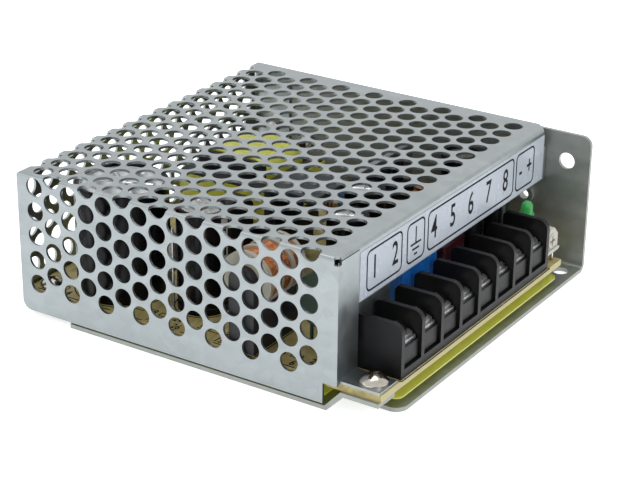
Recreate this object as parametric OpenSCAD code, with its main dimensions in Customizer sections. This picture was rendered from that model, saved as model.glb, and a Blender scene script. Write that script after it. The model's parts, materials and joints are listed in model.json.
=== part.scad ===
// Mesh case switching power supply with four outputs: a folded chassis, a folded
// perforated cover, one circuit board and an eight way screw terminal strip.
// The origin is at the centre of the base underside. +Z is up, +X points to the
// terminals, -Y is the perforated side and +Y is the side wall of the chassis.

/* [Case] */
// Length over the base, along X
case_l = 99; // [98:0.5:104]
// Width over both side walls, along Y
case_w = 97; // [96.5:0.5:100]
// Height over the cover, along Z
case_h = 36; // [35.5:0.5:40]
// Thickness of the chassis sheet
chassis_t = 1.0; // [0.8:0.1:1.2]
// Thickness of the cover sheet
cover_t = 0.6; // [0.5:0.1:0.8]
// Length of the open terminal shelf in front of the cover
shelf_l = 11.6; // [11.2:0.1:12.6]
// Gap between the partitions and the lip that the cover turns down over them
lip_gap = 3.1; // [1:0.1:4]

/* [Perforation] */
// Diameter of one round hole
hole_d = 4.6; // [3:0.1:4.8]
// Pitch of the holes along a column
pitch_y = 6.05; // [5.9:0.05:7]
// Distance from one column to the next
pitch_x = 5.0; // [5:0.05:6]

/* [Board] */
// Height of the board underside above the base underside
board_lift = 5.3; // [5.1:0.1:6.2]
// Thickness of the board
board_t = 1.6; // [1.2:0.1:2]
// Thickness of the insulating film under the board
film_t = 0.4; // [0.3:0.1:0.5]

/* [Terminals] */
// Pitch of the screw terminals
way_pitch = 8.5; // [8.3:0.1:8.6]
// Height of the partitions above the board
wall_h = 12.8; // [12.2:0.1:13.4]
// Thickness of one partition
wall_t = 1.3; // [1:0.1:1.4]
// Radius of the terminal screw shank
screw_r = 1.45; // [1.3:0.05:1.6]
// Radius of the terminal screw head
head_r = 2.9; // [2.6:0.1:3]
// Side of the square clamp plate
clamp_w = 6.0; // [5.6:0.1:6.2]

/* [Fixings] */
// Diameter of the plain mounting hole in the side wall
ear_hole_d = 4.2; // [3.4:0.1:4.6]
// Diameter of the plain mounting hole in the base
base_hole_d = 4.0; // [3.4:0.1:4.4]
// Bore of the tapped M3 holes
tap_d = 2.5; // [2.4:0.05:2.6]

/* [Large components] */
// Diameter of the bulk capacitor
bulk_d = 22; // [20:0.5:22]
// Diameter of the filter capacitor
filter_d = 12.5; // [10:0.5:13]
// Diameter of the output capacitors
output_d = 10; // [8:0.5:10]
// Height of the output capacitors
output_h = 20; // [16:0.5:22]
// Radius of the flanges on the line choke
choke_r = 6.6; // [6:0.1:6.8]

/* [Hidden] */
$fn = 48;

// Small overlap that joins shapes and clears cut faces
eps = 0.01;
// Smallest gap between a moving piece and its neighbour
gap = 0.05;

// Faces of the case
x_front = case_l / 2;
x_rear = -case_l / 2;
y_near = -case_w / 2;
y_far = case_w / 2;
cover_front = x_front - shelf_l;
cover_low = 1.4;
bend_r = 0.9;
wall_top = case_h - cover_t;
wall_in = y_far - chassis_t;
board_top = board_lift + board_t;
lip_low = board_top + wall_h + lip_gap;

// Punched pattern. Column 0 lies on the rear fold, row 0 on the fold above the near side.
col_0 = x_rear + 0.14;
row_0 = y_near + 0.52;
fold_z = case_h + 0.1;
cols = floor((cover_front - 5 - col_0) / pitch_x);
rows = floor((y_far - 5.5 - row_0) / pitch_y);
side_rows = floor((fold_z - 8) / pitch_y * 2) / 2;
rear_rows = floor((case_h - 10) / pitch_x);

// Screw place at each near corner of the board
foot_x = x_front - 5.2;
foot_y = y_near + 4.6;
strip_w = 8.2;
board_in = 0.9;
tab_w = 6.8;
ramp_x = x_front - 14.2;
ramp_run = 3.9;
tab_end = x_front - 1.3;
post = [[x_rear + 7.5, y_far - 6], [x_front - 13.5, y_far - 6]];
post_r = 3;
shoulder_r = 4.5;
film_z = 2.7;
m3_r = 1.5;
seat_r = 2.75;
seat_h = 1.65;

// Mounting holes
ear_hole = [x_front - 6.2, 28.2];
base_hole = [x_front - 3.75, y_far - 5.6];
side_tap = [x_front - 16.7, 17.4];
base_tap_x = 30;
collar_r = 2.3;
collar_h = 1.2;
tab_screw_front = [x_front - 17.5, case_h - 7];
tab_screw_rear = [x_rear + 7.5, case_h - 16];

// Terminal strip. Each way is numbered from the near side.
ways = 8;
strip_y = y_near + 14.3;
strip_front = x_front - 1.4;
strip_back = strip_front - 12;
ledge_z = board_top + 6.5;
contact_t = 0.8;
contact_z = ledge_z + contact_t;
clamp_t = 1.0;
clamp_z = contact_z + gap;
head_z = clamp_z + clamp_t + gap;
head_h = 2.2;
screw_x = x_front - 6.5;
shank_l = 6.4;
function way_y(i) = strip_y + (i - 1) * way_pitch;

// Lamp and trimmer
lamp = [x_front - 11.2, y_far - 11.2];
lamp_r = 1.5;
trim_face = x_front - 2.2;
trim_y = y_far - 14.9;
trim_z = board_top + 5.9;
rotor_r = 1.9;
trim_drop = 2.9;

// Large parts on the board
head_room = case_h - cover_t - 2.1;
bulk = [x_rear + 19.5, y_near + 13.8];
bulk_h = head_room - board_top;
sleeve_t = 0.25;
filter = [-8.4, y_near + 16];
filter_h = head_room - 1.8 - board_top;
choke = [12.4, y_near + 3];
choke_l = 14;
choke_z = board_top + 16.7;
leg_r = 3.3;
tr = [-25, 11];
tr_top = board_top + 22.4;
tr_core_z = board_top + 6.5;
disc = [27.4, y_near + 12];
disc_lead = 3.7;
film_box = [strip_back - 3.6, way_y(6) - 0.4];
film_lead = 3.75;
suppressors = [[-8, 30], [-8, 39]];
suppressor_lead = 2.5;
clips = [5.2, 18.4];
clip_l = 4.4;
fuse_y = way_y(2) + 2.4;
bridge = [-14.6, y_near + 32.5];
bridge_legs = [-7.6, -2.5, 2.5, 7.6];
powers = [[-8.1, 1], [3.5, 18.5], [3.5, 29.5]];
power_leg = 2.54;
ic_row = 3.4;
opto = [-4, -14];
chip = [-26, 35];
chip_legs = [-3.81, -1.27, 1.27, 3.81];
axials = [[-40, 30], [-40, 35], [-15.2, 33], [-15.2, 37], [4, -12], [24, -17]];
axial_lead = 5;
trim_pins = [[-0.9, -2], [-2.6, 0], [-0.9, 2]];
lamp_lead = 1.2;
lamp_lift = 8.7;

// Lead holes through the board as [x, y, radius]
drills = concat(
    [for (i = [1:ways]) [strip_back + 0.9 + contact_t / 2, way_y(i), 0.75]],
    [for (s = [-1, 1]) [lamp.x + s * lamp_lead, lamp.y, 0.45]],
    [for (p = trim_pins) [trim_face + p.x, trim_y + p.y, 0.5]],
    [for (s = [-1, 1]) [disc.x + s * disc_lead, disc.y, 0.5]],
    [for (s = [-1, 1]) [film_box.x, film_box.y + s * film_lead, 0.45]],
    [for (p = suppressors, s = [-1, 1]) [p.x, p.y + s * suppressor_lead, 0.4]],
    [for (x = clips) [x + clip_l / 2, fuse_y, 0.9]],
    [for (y = bridge_legs) [bridge.x, bridge.y + y, 0.75]],
    [for (p = powers, s = [-1, 0, 1]) [p.x + 2.45, p.y + s * power_leg, 0.6]],
    [for (x = [-1.27, 1.27], s = [-1, 1]) [opto.x + x, opto.y + s * ic_row, 0.45]],
    [for (x = chip_legs, s = [-1, 1]) [chip.x + x, chip.y + s * ic_row, 0.45]],
    [for (p = axials, s = [-1, 1]) [p.x + s * axial_lead, p.y, 0.4]]);

// ---------------------------------------------------------------- helpers

// Rectangle from [0, 0] to [w, h] with its two top corners rounded.
module arch(w, h, r) {
    square([w, h - r]);
    translate([r, 0]) square([w - 2 * r, h]);
    for (x = [r, w - r]) translate([x, h - r]) circle(r);
}

// Rectangle with only the top corner at x = 0 rounded.
module half_arch(w, h, r) {
    square([w, h - r]);
    translate([r, 0]) square([w - r, h]);
    translate([r, h - r]) circle(r);
}

// Extrudes a [Y, Z] outline along X from x0 to x1.
module along_x(x0, x1) {
    translate([x0, 0, 0]) rotate([90, 0, 90]) linear_extrude(x1 - x0) children();
}

// Extrudes an [X, Z] outline along Y from y0 to y1.
module along_y(y0, y1) {
    translate([0, y1, 0]) rotate([90, 0, 0]) linear_extrude(y1 - y0) children();
}

// Box given by its two opposite corners.
module box(a, b) {
    translate(a) cube(b - a);
}

// What rounds an upright sheet corner: the waste outside a radius, along Y.
module corner_waste_y(x, z, sx, sz, r, y0, y1) {
    along_y(y0, y1) translate([x, z]) scale_corner(sx, sz, r);
}

// Square waste with a quarter circle kept, its outer corner at the origin.
module scale_corner(sx, sz, r) {
    difference() {
        translate([sx > 0 ? -eps : -r, sz > 0 ? -eps : -r]) square(r + eps);
        translate([sx * r, sz * r]) circle(r);
    }
}

// Pan head screw that points down, its head seated at z = 0.
module pan_screw(head, tall, shank, len) {
    difference() {
        union() {
            translate([0, 0, tall * 0.25]) dome(head, tall * 0.75);
            cylinder(r = head, h = tall * 0.25);
            translate([0, 0, -len]) cylinder(r = shank, h = len + eps);
        }
        cross_recess(head * 0.62, tall);
    }
}

// Cap of a sphere with base radius r and height h, standing on z = 0.
module dome(r, h) {
    ball = (r * r + h * h) / (2 * h);
    rotate_extrude() intersection() {
        translate([0, h - ball]) circle(ball, $fn = 96);
        square([r, h]);
    }
}

// Cross slots cut into a head of height tall.
module cross_recess(reach, tall) {
    for (a = [0, 90])
        rotate([0, 0, a]) translate([-reach, -0.45, tall * 0.45]) cube([2 * reach, 0.9, tall]);
}

// Upright can: a groove near its foot and a shallow dish in its top.
module can(d, h) {
    difference() {
        cylinder(d = d, h = h);
        translate([0, 0, h - 0.5]) cylinder(d = d - 2.4, h = 1);
        translate([0, 0, 2.2]) rotate_extrude() translate([d / 2 + 0.35, 0]) circle(0.8);
    }
}

// Box shaped component with rounded upright edges, centred on [0, 0].
module moulded(l, w, h, r) {
    linear_extrude(h) {
        square([l - 2 * r, w], center = true);
        square([l, w - 2 * r], center = true);
        for (x = [-1, 1], y = [-1, 1])
            translate([x * (l / 2 - r), y * (w / 2 - r)]) circle(r);
    }
}

// ---------------------------------------------------------------- case

// Base and far wall in one outline, with the fold between them.
module chassis_outline() {
    difference() {
        translate([y_far, 0]) mirror([1, 0]) mirror([0, 1]) translate([0, -wall_top])
            half_arch(case_w, wall_top, 2 * chassis_t);
        translate([wall_in, chassis_t]) mirror([1, 0]) mirror([0, 1]) translate([0, -case_h])
            half_arch(case_w, case_h, chassis_t);
    }
}

// Raised tab that carries the board, joined to the base by a ramp.
module board_tab(y0, y1) {
    along_y(y0, y1) polygon([
        [ramp_x - 3, 0], [ramp_x, 0], [ramp_x + ramp_run, board_lift - chassis_t],
        [tab_end, board_lift - chassis_t], [tab_end, board_lift],
        [ramp_x + ramp_run - 0.5, board_lift], [ramp_x - 0.5, chassis_t], [ramp_x - 3, chassis_t]]);
}

// Drawn post with a shoulder for the film and a tapped bore.
module board_post() {
    cylinder(r = shoulder_r, h = film_z);
    cylinder(r = post_r, h = board_lift);
}

module chassis() {
    tab_in = y_near + tab_w;
    color("lightslategray") difference() {
        union() {
            difference() {
                along_x(x_rear, x_front) chassis_outline();
                box([ramp_x, y_near - 1, -1], [x_front + 1, tab_in + 0.5, 3]);
                box([x_rear - 1, y_near - 1, -1], [-ramp_x, tab_in + 0.5, 3]);
            }
            board_tab(y_near, tab_in);
            mirror([1, 0, 0]) board_tab(y_near + cover_t + 0.2, tab_in);
            for (p = post) translate([p.x, p.y, 0]) board_post();
            for (s = [-1, 1]) {
                translate([s * side_tap.x, wall_in - collar_h, side_tap.y])
                    rotate([-90, 0, 0]) cylinder(r = collar_r, h = collar_h + eps);
                translate([s * base_tap_x, 0, 0]) cylinder(r = collar_r, h = chassis_t + collar_h);
            }
        }
        // Rounded corners of the base and the wall
        translate([x_front, tab_in + 0.5, -1]) mirror([1, 0, 0])
            linear_extrude(3) scale_corner(1, 1, 3);
        corner_waste_y(x_front, wall_top, -1, -1, 2.5, wall_in - 1, y_far + 1);
        corner_waste_y(x_rear, wall_top, 1, -1, 2.5, wall_in - 1, y_far + 1);
        // Plain mounting holes
        translate([ear_hole.x, wall_in - 1, ear_hole.y])
            rotate([-90, 0, 0]) cylinder(d = ear_hole_d, h = chassis_t + 2);
        translate([base_hole.x, base_hole.y, -1]) cylinder(d = base_hole_d, h = chassis_t + 2);
        // Tapped holes
        for (s = [-1, 1]) {
            translate([s * side_tap.x, wall_in - collar_h - 1, side_tap.y])
                rotate([-90, 0, 0]) cylinder(d = tap_d, h = collar_h + chassis_t + 2);
            translate([s * base_tap_x, 0, -1]) cylinder(d = tap_d, h = chassis_t + collar_h + 2);
            translate([s * foot_x, foot_y, board_lift - chassis_t - 1])
                cylinder(r = m3_r, h = chassis_t + 2);
        }
        for (p = post) translate([p.x, p.y, -1]) cylinder(r = m3_r, h = board_lift + 2);
        for (p = [tab_screw_front, tab_screw_rear]) side_screw_seat(p);
    }
}

// Countersunk seat of a cover screw, from the outside of the far wall inwards.
module side_screw_seat(p) {
    translate([p.x, y_far, p.y]) rotate([90, 0, 0]) {
        translate([0, 0, -eps]) cylinder(r1 = seat_r, r2 = m3_r, h = seat_h);
        cylinder(r = m3_r, h = 4);
    }
}

// Envelope of the cover: every fold is a quarter circle of radius r.
module cover_envelope(inset, r, y_end) {
    z0 = cover_low - inset;
    intersection() {
        along_x(x_rear + inset, cover_front - inset)
            translate([y_near + inset, z0])
                half_arch(y_end - y_near - inset, case_h - inset - z0, r);
        along_y(y_near, y_end)
            translate([x_rear + inset, z0])
                arch(cover_front - x_rear - 2 * inset, case_h - inset - z0, r);
    }
}

// Tab turned back along the inside of the far wall, on the end of a cross panel at x = 0.
module wall_tab(len, z0, z1) {
    y1 = wall_in - 0.1;
    r_in = bend_r - cover_t;
    translate([0, 0, z0]) linear_extrude(z1 - z0) {
        difference() {
            translate([-bend_r, y1 - bend_r]) circle(bend_r);
            translate([-bend_r, y1 - bend_r]) circle(r_in);
            translate([-3 * bend_r, y1 - 3 * bend_r]) square([2 * bend_r, 4 * bend_r]);
            translate([-3 * bend_r, y1 - 3 * bend_r]) square([4 * bend_r, 2 * bend_r]);
        }
        translate([-len, y1 - cover_t]) square([len - bend_r, cover_t]);
    }
}

// Strip that returns from the near side across the front, with the foot it ends in.
module front_strip() {
    inner = bend_r - cover_t;
    y1 = y_near + strip_w;
    // the foot with the fold that leads into it
    along_y(y_near + board_in, y1) translate([cover_front - cover_t, board_top]) difference() {
        union() {
            translate([bend_r, 0]) square([strip_front - 0.1 - cover_front + cover_t - bend_r, cover_t]);
            translate([0, bend_r]) square([cover_t, 2]);
            translate([bend_r, bend_r]) circle(bend_r);
        }
        translate([bend_r, bend_r]) circle(inner);
        translate([bend_r, cover_t]) square([bend_r, bend_r * 2]);
        translate([cover_t, bend_r]) square([bend_r * 2, bend_r]);
    }
    // the stepped tongue that passes behind the terminal strip
    tongue = strip_back - 0.4 - cover_t;
    box([tongue, y1 - cover_t, ledge_z], [cover_front, y1, wall_top - 0.2]);
    box([tongue, y1 - eps, ledge_z], [tongue + cover_t, y1 + 16.7, wall_top - 0.2]);
}

// Numbers of the holes in column or row c of the pattern: whole in even ones, halves in odd ones.
function hole_steps(c, last) = [(c % 2 == 0 ? 1 : 0.5):1:last];

// Holes punched downwards: the top, and the upper half of every hole that a fold bends in two.
module holes_down() {
    for (c = [1:cols], k = hole_steps(c, rows))
        translate([col_0 + c * pitch_x, row_0 + k * pitch_y, wall_top - 0.2])
            cylinder(d = hole_d, h = cover_t + 0.4);
    for (c = [2:2:cols])
        translate([col_0 + c * pitch_x, row_0, case_h - bend_r])
            cylinder(d = hole_d, h = bend_r + 0.2);
    for (k = [1:rows])
        translate([col_0, row_0 + k * pitch_y, case_h - bend_r])
            cylinder(d = hole_d, h = bend_r + 0.2);
}

// Holes punched sideways: the near side, the rear, and the other half of the bent holes.
module holes_across() {
    for (c = [1:cols], k = hole_steps(c, side_rows))
        translate([col_0 + c * pitch_x, y_near + cover_t + 0.2, fold_z - k * pitch_y])
            rotate([90, 0, 0]) cylinder(d = hole_d, h = cover_t + 0.4);
    for (c = [1:rear_rows], k = hole_steps(c, rows))
        translate([x_rear - 0.2, row_0 + k * pitch_y, case_h - c * pitch_x])
            rotate([0, 90, 0]) cylinder(d = hole_d, h = cover_t + 0.4);
    for (c = [2:2:cols])
        translate([col_0 + c * pitch_x, y_near + bend_r, fold_z])
            rotate([90, 0, 0]) cylinder(d = hole_d, h = bend_r + 0.2);
    for (k = [1:rows])
        translate([x_rear - 0.2, row_0 + k * pitch_y, case_h])
            rotate([0, 90, 0]) cylinder(d = hole_d, h = bend_r + 0.2);
}

// Folded cover before the perforation is punched.
module cover_blank() {
    strip_in = y_near + strip_w;
    lip_end = wall_in - 0.1 - bend_r;
    difference() {
        union() {
            difference() {
                cover_envelope(0, bend_r, y_far - 0.5);
                cover_envelope(cover_t, bend_r - cover_t, y_far + 1);
                // the window over the terminals and the edge above the foot
                box([cover_front - 2, strip_in, 0], [cover_front + 1, y_far + 1, lip_low]);
                box([cover_front - 2, y_near + cover_t, 0],
                    [cover_front + 1, strip_in + eps, board_top + bend_r]);
                // the cross panels stop short of the far wall, the top rests on it
                box([x_rear - 1, lip_end, 0], [cover_front + 1, y_far + 1, wall_top]);
                // open seams at the near rear corner and above the front strip
                box([x_rear - 1, y_near + cover_t, 0],
                    [x_rear + cover_t + eps, y_near + cover_t + 0.15, wall_top]);
                box([cover_front - 1, y_near + bend_r, wall_top - 0.2],
                    [cover_front + 1, strip_in, wall_top]);
                // the near side clears the joggle of the base
                box([ramp_x - 1, y_near - 1, 0], [cover_front + 1, y_near + 1, board_top - 0.6]);
            }
            front_strip();
            translate([cover_front, 0, 0]) wall_tab(10.9, lip_low, wall_top - 0.2);
            translate([x_rear, 0, 0]) mirror([1, 0, 0]) wall_tab(11.5, 9, wall_top - 4);
        }
        // clipped corners
        translate([cover_front - 0.6, y_near + 0.6, wall_top - 1]) cylinder(d = 1.6, h = 3);
        translate([cover_front, y_far - 0.5, wall_top - 1]) rotate([0, 0, 45])
            cube([4, 4, 6], center = true);
        corner_waste_y(x_rear, cover_low, 1, 1, 2.5, y_near - 1, y_near + cover_t + 0.1);
        translate([foot_x, foot_y, board_top - 1]) cylinder(r = m3_r + 0.1, h = 3);
        for (p = [tab_screw_front, tab_screw_rear]) side_screw_seat(p);
    }
}

module cover() {
    color("silver") difference() {
        difference() {
            cover_blank();
            holes_down();
        }
        holes_across();
    }
}

// Sticker on the lip
module label() {
    color("gainsboro")
        box([cover_front, y_near + 8.4, lip_low + 0.3], [cover_front + 0.12, y_far - 3.2, case_h - 1.5]);
}

// Insulating film between the base and the board
module insulating_film() {
    tab_in = y_near + tab_w;
    color("yellowgreen") difference() {
        translate([0, 0, film_z]) linear_extrude(film_t) difference() {
            union() {
                translate([x_rear + 1.2, tab_in + 1.2])
                    square([case_l - 2.2, y_far - 12.8 - tab_in - 1.2]);
                translate([x_rear + 1.2, tab_in + 1]) square([case_l - 10.2, wall_in - 1 - tab_in - 1]);
                translate([1.2 - ramp_x, y_near + 1.1]) square([2 * ramp_x - 2.4, tab_w + 1]);
            }
            translate([x_front - 1, tab_in + 1.2]) mirror([1, 0]) scale_corner(1, 1, 2);
            translate([x_front - 1, y_far - 12.8]) mirror([1, 0]) mirror([0, 1]) scale_corner(1, 1, 2);
        }
        for (p = post) translate([p.x, p.y, 0]) cylinder(r = post_r + 0.3, h = 10);
    }
}

// Circuit board, cut back at the front corner for the base hole
module circuit_board() {
    color("tan") difference() {
        box([x_rear + 1.2, y_near + board_in, board_lift], [strip_front + 0.2, wall_in - 1, board_top]);
        box([x_front - 8, y_far - 11.2, 0], [x_front + 1, y_far, 20]);
        for (p = concat(post, [[foot_x, foot_y], [-foot_x, foot_y]]))
            translate([p.x, p.y, 0]) cylinder(r = m3_r + 0.1, h = 20);
        for (p = drills) translate([p.x, p.y, 0]) cylinder(r = p.z, h = 20, $fn = 16);
    }
}

// ---------------------------------------------------------------- fixings

module foot_screw() {
    color("gainsboro") translate([foot_x, foot_y, board_top + cover_t])
        pan_screw(3.2, 2.2, m3_r, 5.2);
}

module board_screws() {
    color("gainsboro") for (p = concat(post, [[-foot_x, foot_y]]))
        translate([p.x, p.y, board_top]) pan_screw(2.8, 2, m3_r, 4.4);
}

module side_screws() {
    color("gainsboro") for (p = [tab_screw_front, tab_screw_rear])
        translate([p.x, y_far, p.y]) rotate([90, 0, 0]) difference() {
            union() {
                cylinder(r1 = seat_r - 0.05, r2 = m3_r - 0.05, h = seat_h);
                cylinder(r = m3_r - 0.05, h = 3.6);
            }
            for (a = [0, 90]) rotate([0, 0, a]) translate([-1.4, -0.3, -eps]) cube([2.8, 0.6, 0.9]);
        }
}

// ---------------------------------------------------------------- terminals

// Side outline of one partition
module partition_outline(h) {
    l = strip_front - strip_back;
    difference() {
        square([l, h]);
        translate([l, h]) scale_corner(-1, -1, 2.5);
        translate([0, h]) scale_corner(1, -1, 1.4);
    }
}

module terminal_block() {
    panel_in = 0.7;
    color("dimgray") difference() {
        union() {
            box([strip_back, way_y(1) - way_pitch / 2, board_top],
                [strip_front - panel_in, way_y(ways) + way_pitch / 2, ledge_z]);
            box([strip_back, way_y(1) - way_pitch / 2, board_top],
                [strip_front, way_y(ways) + way_pitch / 2, board_top + 2]);
            for (i = [1:ways + 1])
                along_y(way_y(i) - way_pitch / 2 - wall_t / 2, way_y(i) - way_pitch / 2 + wall_t / 2)
                    translate([strip_back, board_top]) partition_outline(wall_h);
        }
        for (i = [1:ways]) {
            y = way_y(i);
            // groove under and beside the front panel of each way
            box([strip_front - panel_in - 1, y - way_pitch / 2 + wall_t / 2, board_top + 2],
                [strip_front + 1, y + way_pitch / 2 - wall_t / 2, board_top + 2.4]);
            box([strip_front - panel_in - 1, y + way_pitch / 2 - wall_t / 2 - 0.4, board_top + 2],
                [strip_front + 1, y + way_pitch / 2 - wall_t / 2, ledge_z - 0.8]);
            // well for the screw and slot for the tail of the contact
            translate([screw_x, y, ledge_z - 5.2]) cylinder(r = screw_r + 0.5, h = 6);
            box([strip_back + 0.9, y - 1.6, board_top - 1],
                [strip_back + 0.9 + contact_t, y + 1.6, ledge_z + 1]);
        }
    }
}

module terminal_contacts() {
    half_w = (way_pitch - wall_t) / 2 - 0.3;
    x0 = strip_back + 0.9;
    color("gainsboro") for (i = [1:ways]) translate([0, way_y(i), 0]) difference() {
        union() {
            box([x0, -half_w, ledge_z], [strip_front - 1.4, half_w, contact_z]);
            box([x0, -1.6, board_top - 3.4], [x0 + contact_t, 1.6, contact_z]);
        }
        translate([screw_x, 0, ledge_z - 1]) cylinder(r = screw_r + gap, h = 3);
        box([x0 - 1, -2, 0], [x0 + 2, -0.5, board_top]);
        box([x0 - 1, 0.5, 0], [x0 + 2, 2, board_top]);
    }
}

module terminal_screw(i) {
    color("gainsboro") translate([screw_x, way_y(i), head_z])
        pan_screw(head_r, head_h, screw_r, shank_l);
}

module terminal_clamp(i) {
    color("gainsboro") translate([screw_x, way_y(i), clamp_z]) difference() {
        translate([-clamp_w / 2, -clamp_w / 2, 0]) cube([clamp_w, clamp_w, clamp_t]);
        translate([0, 0, -1]) cylinder(r = screw_r + gap, h = clamp_t + 2);
        for (s = [-1, 1]) translate([s * clamp_w / 2, 0, clamp_t / 2 + 0.1])
            rotate([0, s * 20, 0]) translate([-0.6, -clamp_w, 0]) cube([2, 2 * clamp_w, 2]);
    }
}

// ---------------------------------------------------------------- lamp and trimmer

module indicator_lamp() {
    color("limegreen") translate([lamp.x, lamp.y, board_top + lamp_lift]) {
        difference() {
            cylinder(r = lamp_r + 0.4, h = 1);
            translate([-5, lamp_r, -1]) cube([10, 2, 3]);
        }
        cylinder(r = lamp_r, h = 2.9);
        translate([0, 0, 2.9]) dome(lamp_r, 1.45);
    }
}

module lamp_leads() {
    color("silver") for (s = [-1, 1])
        translate([lamp.x - 0.25 + s * lamp_lead, lamp.y - 0.25, board_top - 3])
            cube([0.5, 0.5, lamp_lift + 3]);
}

module trimmer_body() {
    body_w = 6;
    low = trim_z - trim_drop;
    top = trim_z + 3.2;
    color("ivory") difference() {
        union() {
            along_x(trim_face - 3.4, trim_face) translate([trim_y, 0]) polygon([
                [-body_w / 2, low], [body_w / 2, low], [body_w / 2, top - 2],
                [body_w / 2 - 2, top], [-body_w / 2 + 2, top], [-body_w / 2, top - 2]]);
            along_x(trim_face - 3.4, trim_face + 0.5) translate([trim_y, 0]) polygon([
                [-body_w / 2, low], [body_w / 2 - 0.6, low],
                [body_w / 2 + 0.4, low + 0.4], [body_w / 2, low + 0.8], [-body_w / 2, low + 0.8]]);
        }
        translate([trim_face - 1.6, trim_y, trim_z]) rotate([0, 90, 0]) cylinder(r = rotor_r + gap, h = 4);
    }
}

module trimmer_rotor() {
    color("white") translate([trim_face - 1.6 + gap, trim_y, trim_z]) rotate([0, 90, 0]) difference() {
        cylinder(r = rotor_r, h = 1.7);
        for (a = [0, 90]) rotate([0, 0, a]) translate([-1.4, -0.35, 0.9]) cube([2.8, 0.7, 2]);
    }
}

module trimmer_pins() {
    color("silver") for (p = trim_pins)
        translate([trim_face + p.x - 0.3, trim_y + p.y - 0.3, board_top - 3])
            cube([0.6, 0.6, trim_z - trim_drop - board_top + 3]);
}

// ---------------------------------------------------------------- transformer

// Two E cores: end bars across X, joined by two outer legs and a centre leg along Y.
module transformer_core() {
    h = 11;
    color("darkslategray") translate([tr.x, tr.y, tr_core_z]) difference() {
        translate([-12.5, -13, 0]) cube([25, 26, h]);
        for (s = [-1, 1]) translate([s * 6.6 - 3.3, -9.5, -1]) cube([6.6, 19, h + 2]);
    }
}

module transformer_bobbin() {
    leg = 3.3;
    color("black") translate([tr.x, tr.y, 0]) {
        difference() {
            translate([-leg - 0.9, -9.2, tr_core_z - 0.9]) cube([2 * leg + 1.8, 18.4, 12.8]);
            translate([-leg, -10, tr_core_z]) cube([2 * leg, 20, 11]);
        }
        for (s = [-1, 1]) difference() {
            translate([-9.7, s * 8.7 - 0.5, board_top + 3]) cube([19.4, 1, 19]);
            translate([-leg, s * 8.7 - 1, tr_core_z]) cube([2 * leg, 2, 11]);
        }
        for (s = [-1, 1]) translate([-11, s * 11 - 2.5, board_top]) cube([22, 5, 5.6]);
        for (s = [-1, 1]) translate([-9.7, s * 8.7 - 0.5, board_top + 2]) cube([19.4, 1, 2]);
    }
}

// Taped winding, a rounded block around the bobbin tube
module transformer_winding() {
    w = 19;
    h = tr_top - board_top - 3.6;
    color("yellowgreen") translate([tr.x, tr.y, board_top + 3.6]) difference() {
        rotate([90, 0, 0]) translate([0, h / 2, -8.2]) moulded(w, h, 16.4, 4);
        translate([-4.2, -9, tr_core_z - 0.9 - board_top - 3.6]) cube([8.4, 18, 12.8]);
    }
}

// Tape around the outside of the core
module transformer_tape() {
    t = 0.3;
    color("yellowgreen") translate([tr.x, tr.y, tr_core_z + 1]) difference() {
        translate([-12.5 - t, -13 - t, 0]) cube([25 + 2 * t, 26 + 2 * t, 9]);
        translate([-12.5, -13, -1]) cube([25, 26, 11]);
    }
}

// ---------------------------------------------------------------- input side

module bulk_capacitor_can() {
    color("silver") translate([bulk.x, bulk.y, board_top]) can(bulk_d - 2 * sleeve_t, bulk_h);
}

module bulk_capacitor_sleeve() {
    color("black") translate([bulk.x, bulk.y, board_top]) difference() {
        cylinder(d = bulk_d, h = bulk_h + sleeve_t);
        translate([0, 0, -1]) cylinder(d = bulk_d - 2 * sleeve_t, h = bulk_h + 1);
        cylinder(d = bulk_d - 2.6, h = bulk_h + 1);
    }
}

module filter_capacitor() {
    color("black") translate([filter.x, filter.y, board_top]) can(filter_d, filter_h);
}

// Ferrite frame of the line choke: one leg runs through the bobbin, one lies below it.
module choke_core() {
    y0 = choke.y - 1.9;
    y1 = choke.y + choke_l + 1.9;
    color("black") {
        for (y = [y0, y1 - 1.8]) {
            box([choke.x - leg_r, y, board_top], [choke.x + leg_r, y + 1.8, choke_z]);
            translate([choke.x, y + 1.8, choke_z]) rotate([90, 0, 0]) cylinder(r = leg_r, h = 1.8);
        }
        translate([choke.x, y1 - 0.5, choke_z]) rotate([90, 0, 0]) cylinder(r = leg_r, h = y1 - y0 - 1);
        box([choke.x - leg_r, y0 + 0.5, board_top], [choke.x + leg_r, y1 - 0.5, board_top + 5]);
    }
}

// Sectioned bobbin with a flange at each end and two in the middle
module choke_bobbin() {
    color("antiquewhite") translate([choke.x, choke.y, choke_z]) rotate([-90, 0, 0]) difference() {
        union() {
            cylinder(r = leg_r + 1, h = choke_l);
            for (y = choke_flanges()) translate([0, 0, y]) cylinder(r = choke_r, h = 1.1);
        }
        translate([0, 0, -1]) cylinder(r = leg_r + 0.1, h = choke_l + 2);
    }
}
function choke_flanges() = [0, 4, choke_l - 5.1, choke_l - 1.1];

// Three sections of enamelled wire
module choke_windings() {
    f = choke_flanges();
    color("peru") translate([choke.x, choke.y, choke_z]) rotate([-90, 0, 0])
        for (i = [0:2]) translate([0, 0, f[i] + 1.1]) difference() {
            cylinder(r = choke_r - 0.5, h = f[i + 1] - f[i] - 1.1);
            translate([0, 0, -1]) cylinder(r = leg_r + 1, h = choke_l);
        }
}

module thermistor() {
    r = 6.5;
    color("darkgreen") translate([disc.x, disc.y, board_top + 12.9]) {
        rotate([-90, 0, 0]) translate([0, 0, -2.4]) cylinder(r = r, h = 4.8);
        for (s = [-1, 1]) translate([s * disc_lead, 0, -15.5]) cylinder(r = 0.4, h = 11);
    }
}

// Moulded safety capacitor behind the second and third ways
module safety_capacitor() {
    color("royalblue") translate([strip_back - 3.6, way_y(4) - 0.4, board_top]) moulded(5.2, 15.6, 16.4, 0.6);
}

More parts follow.
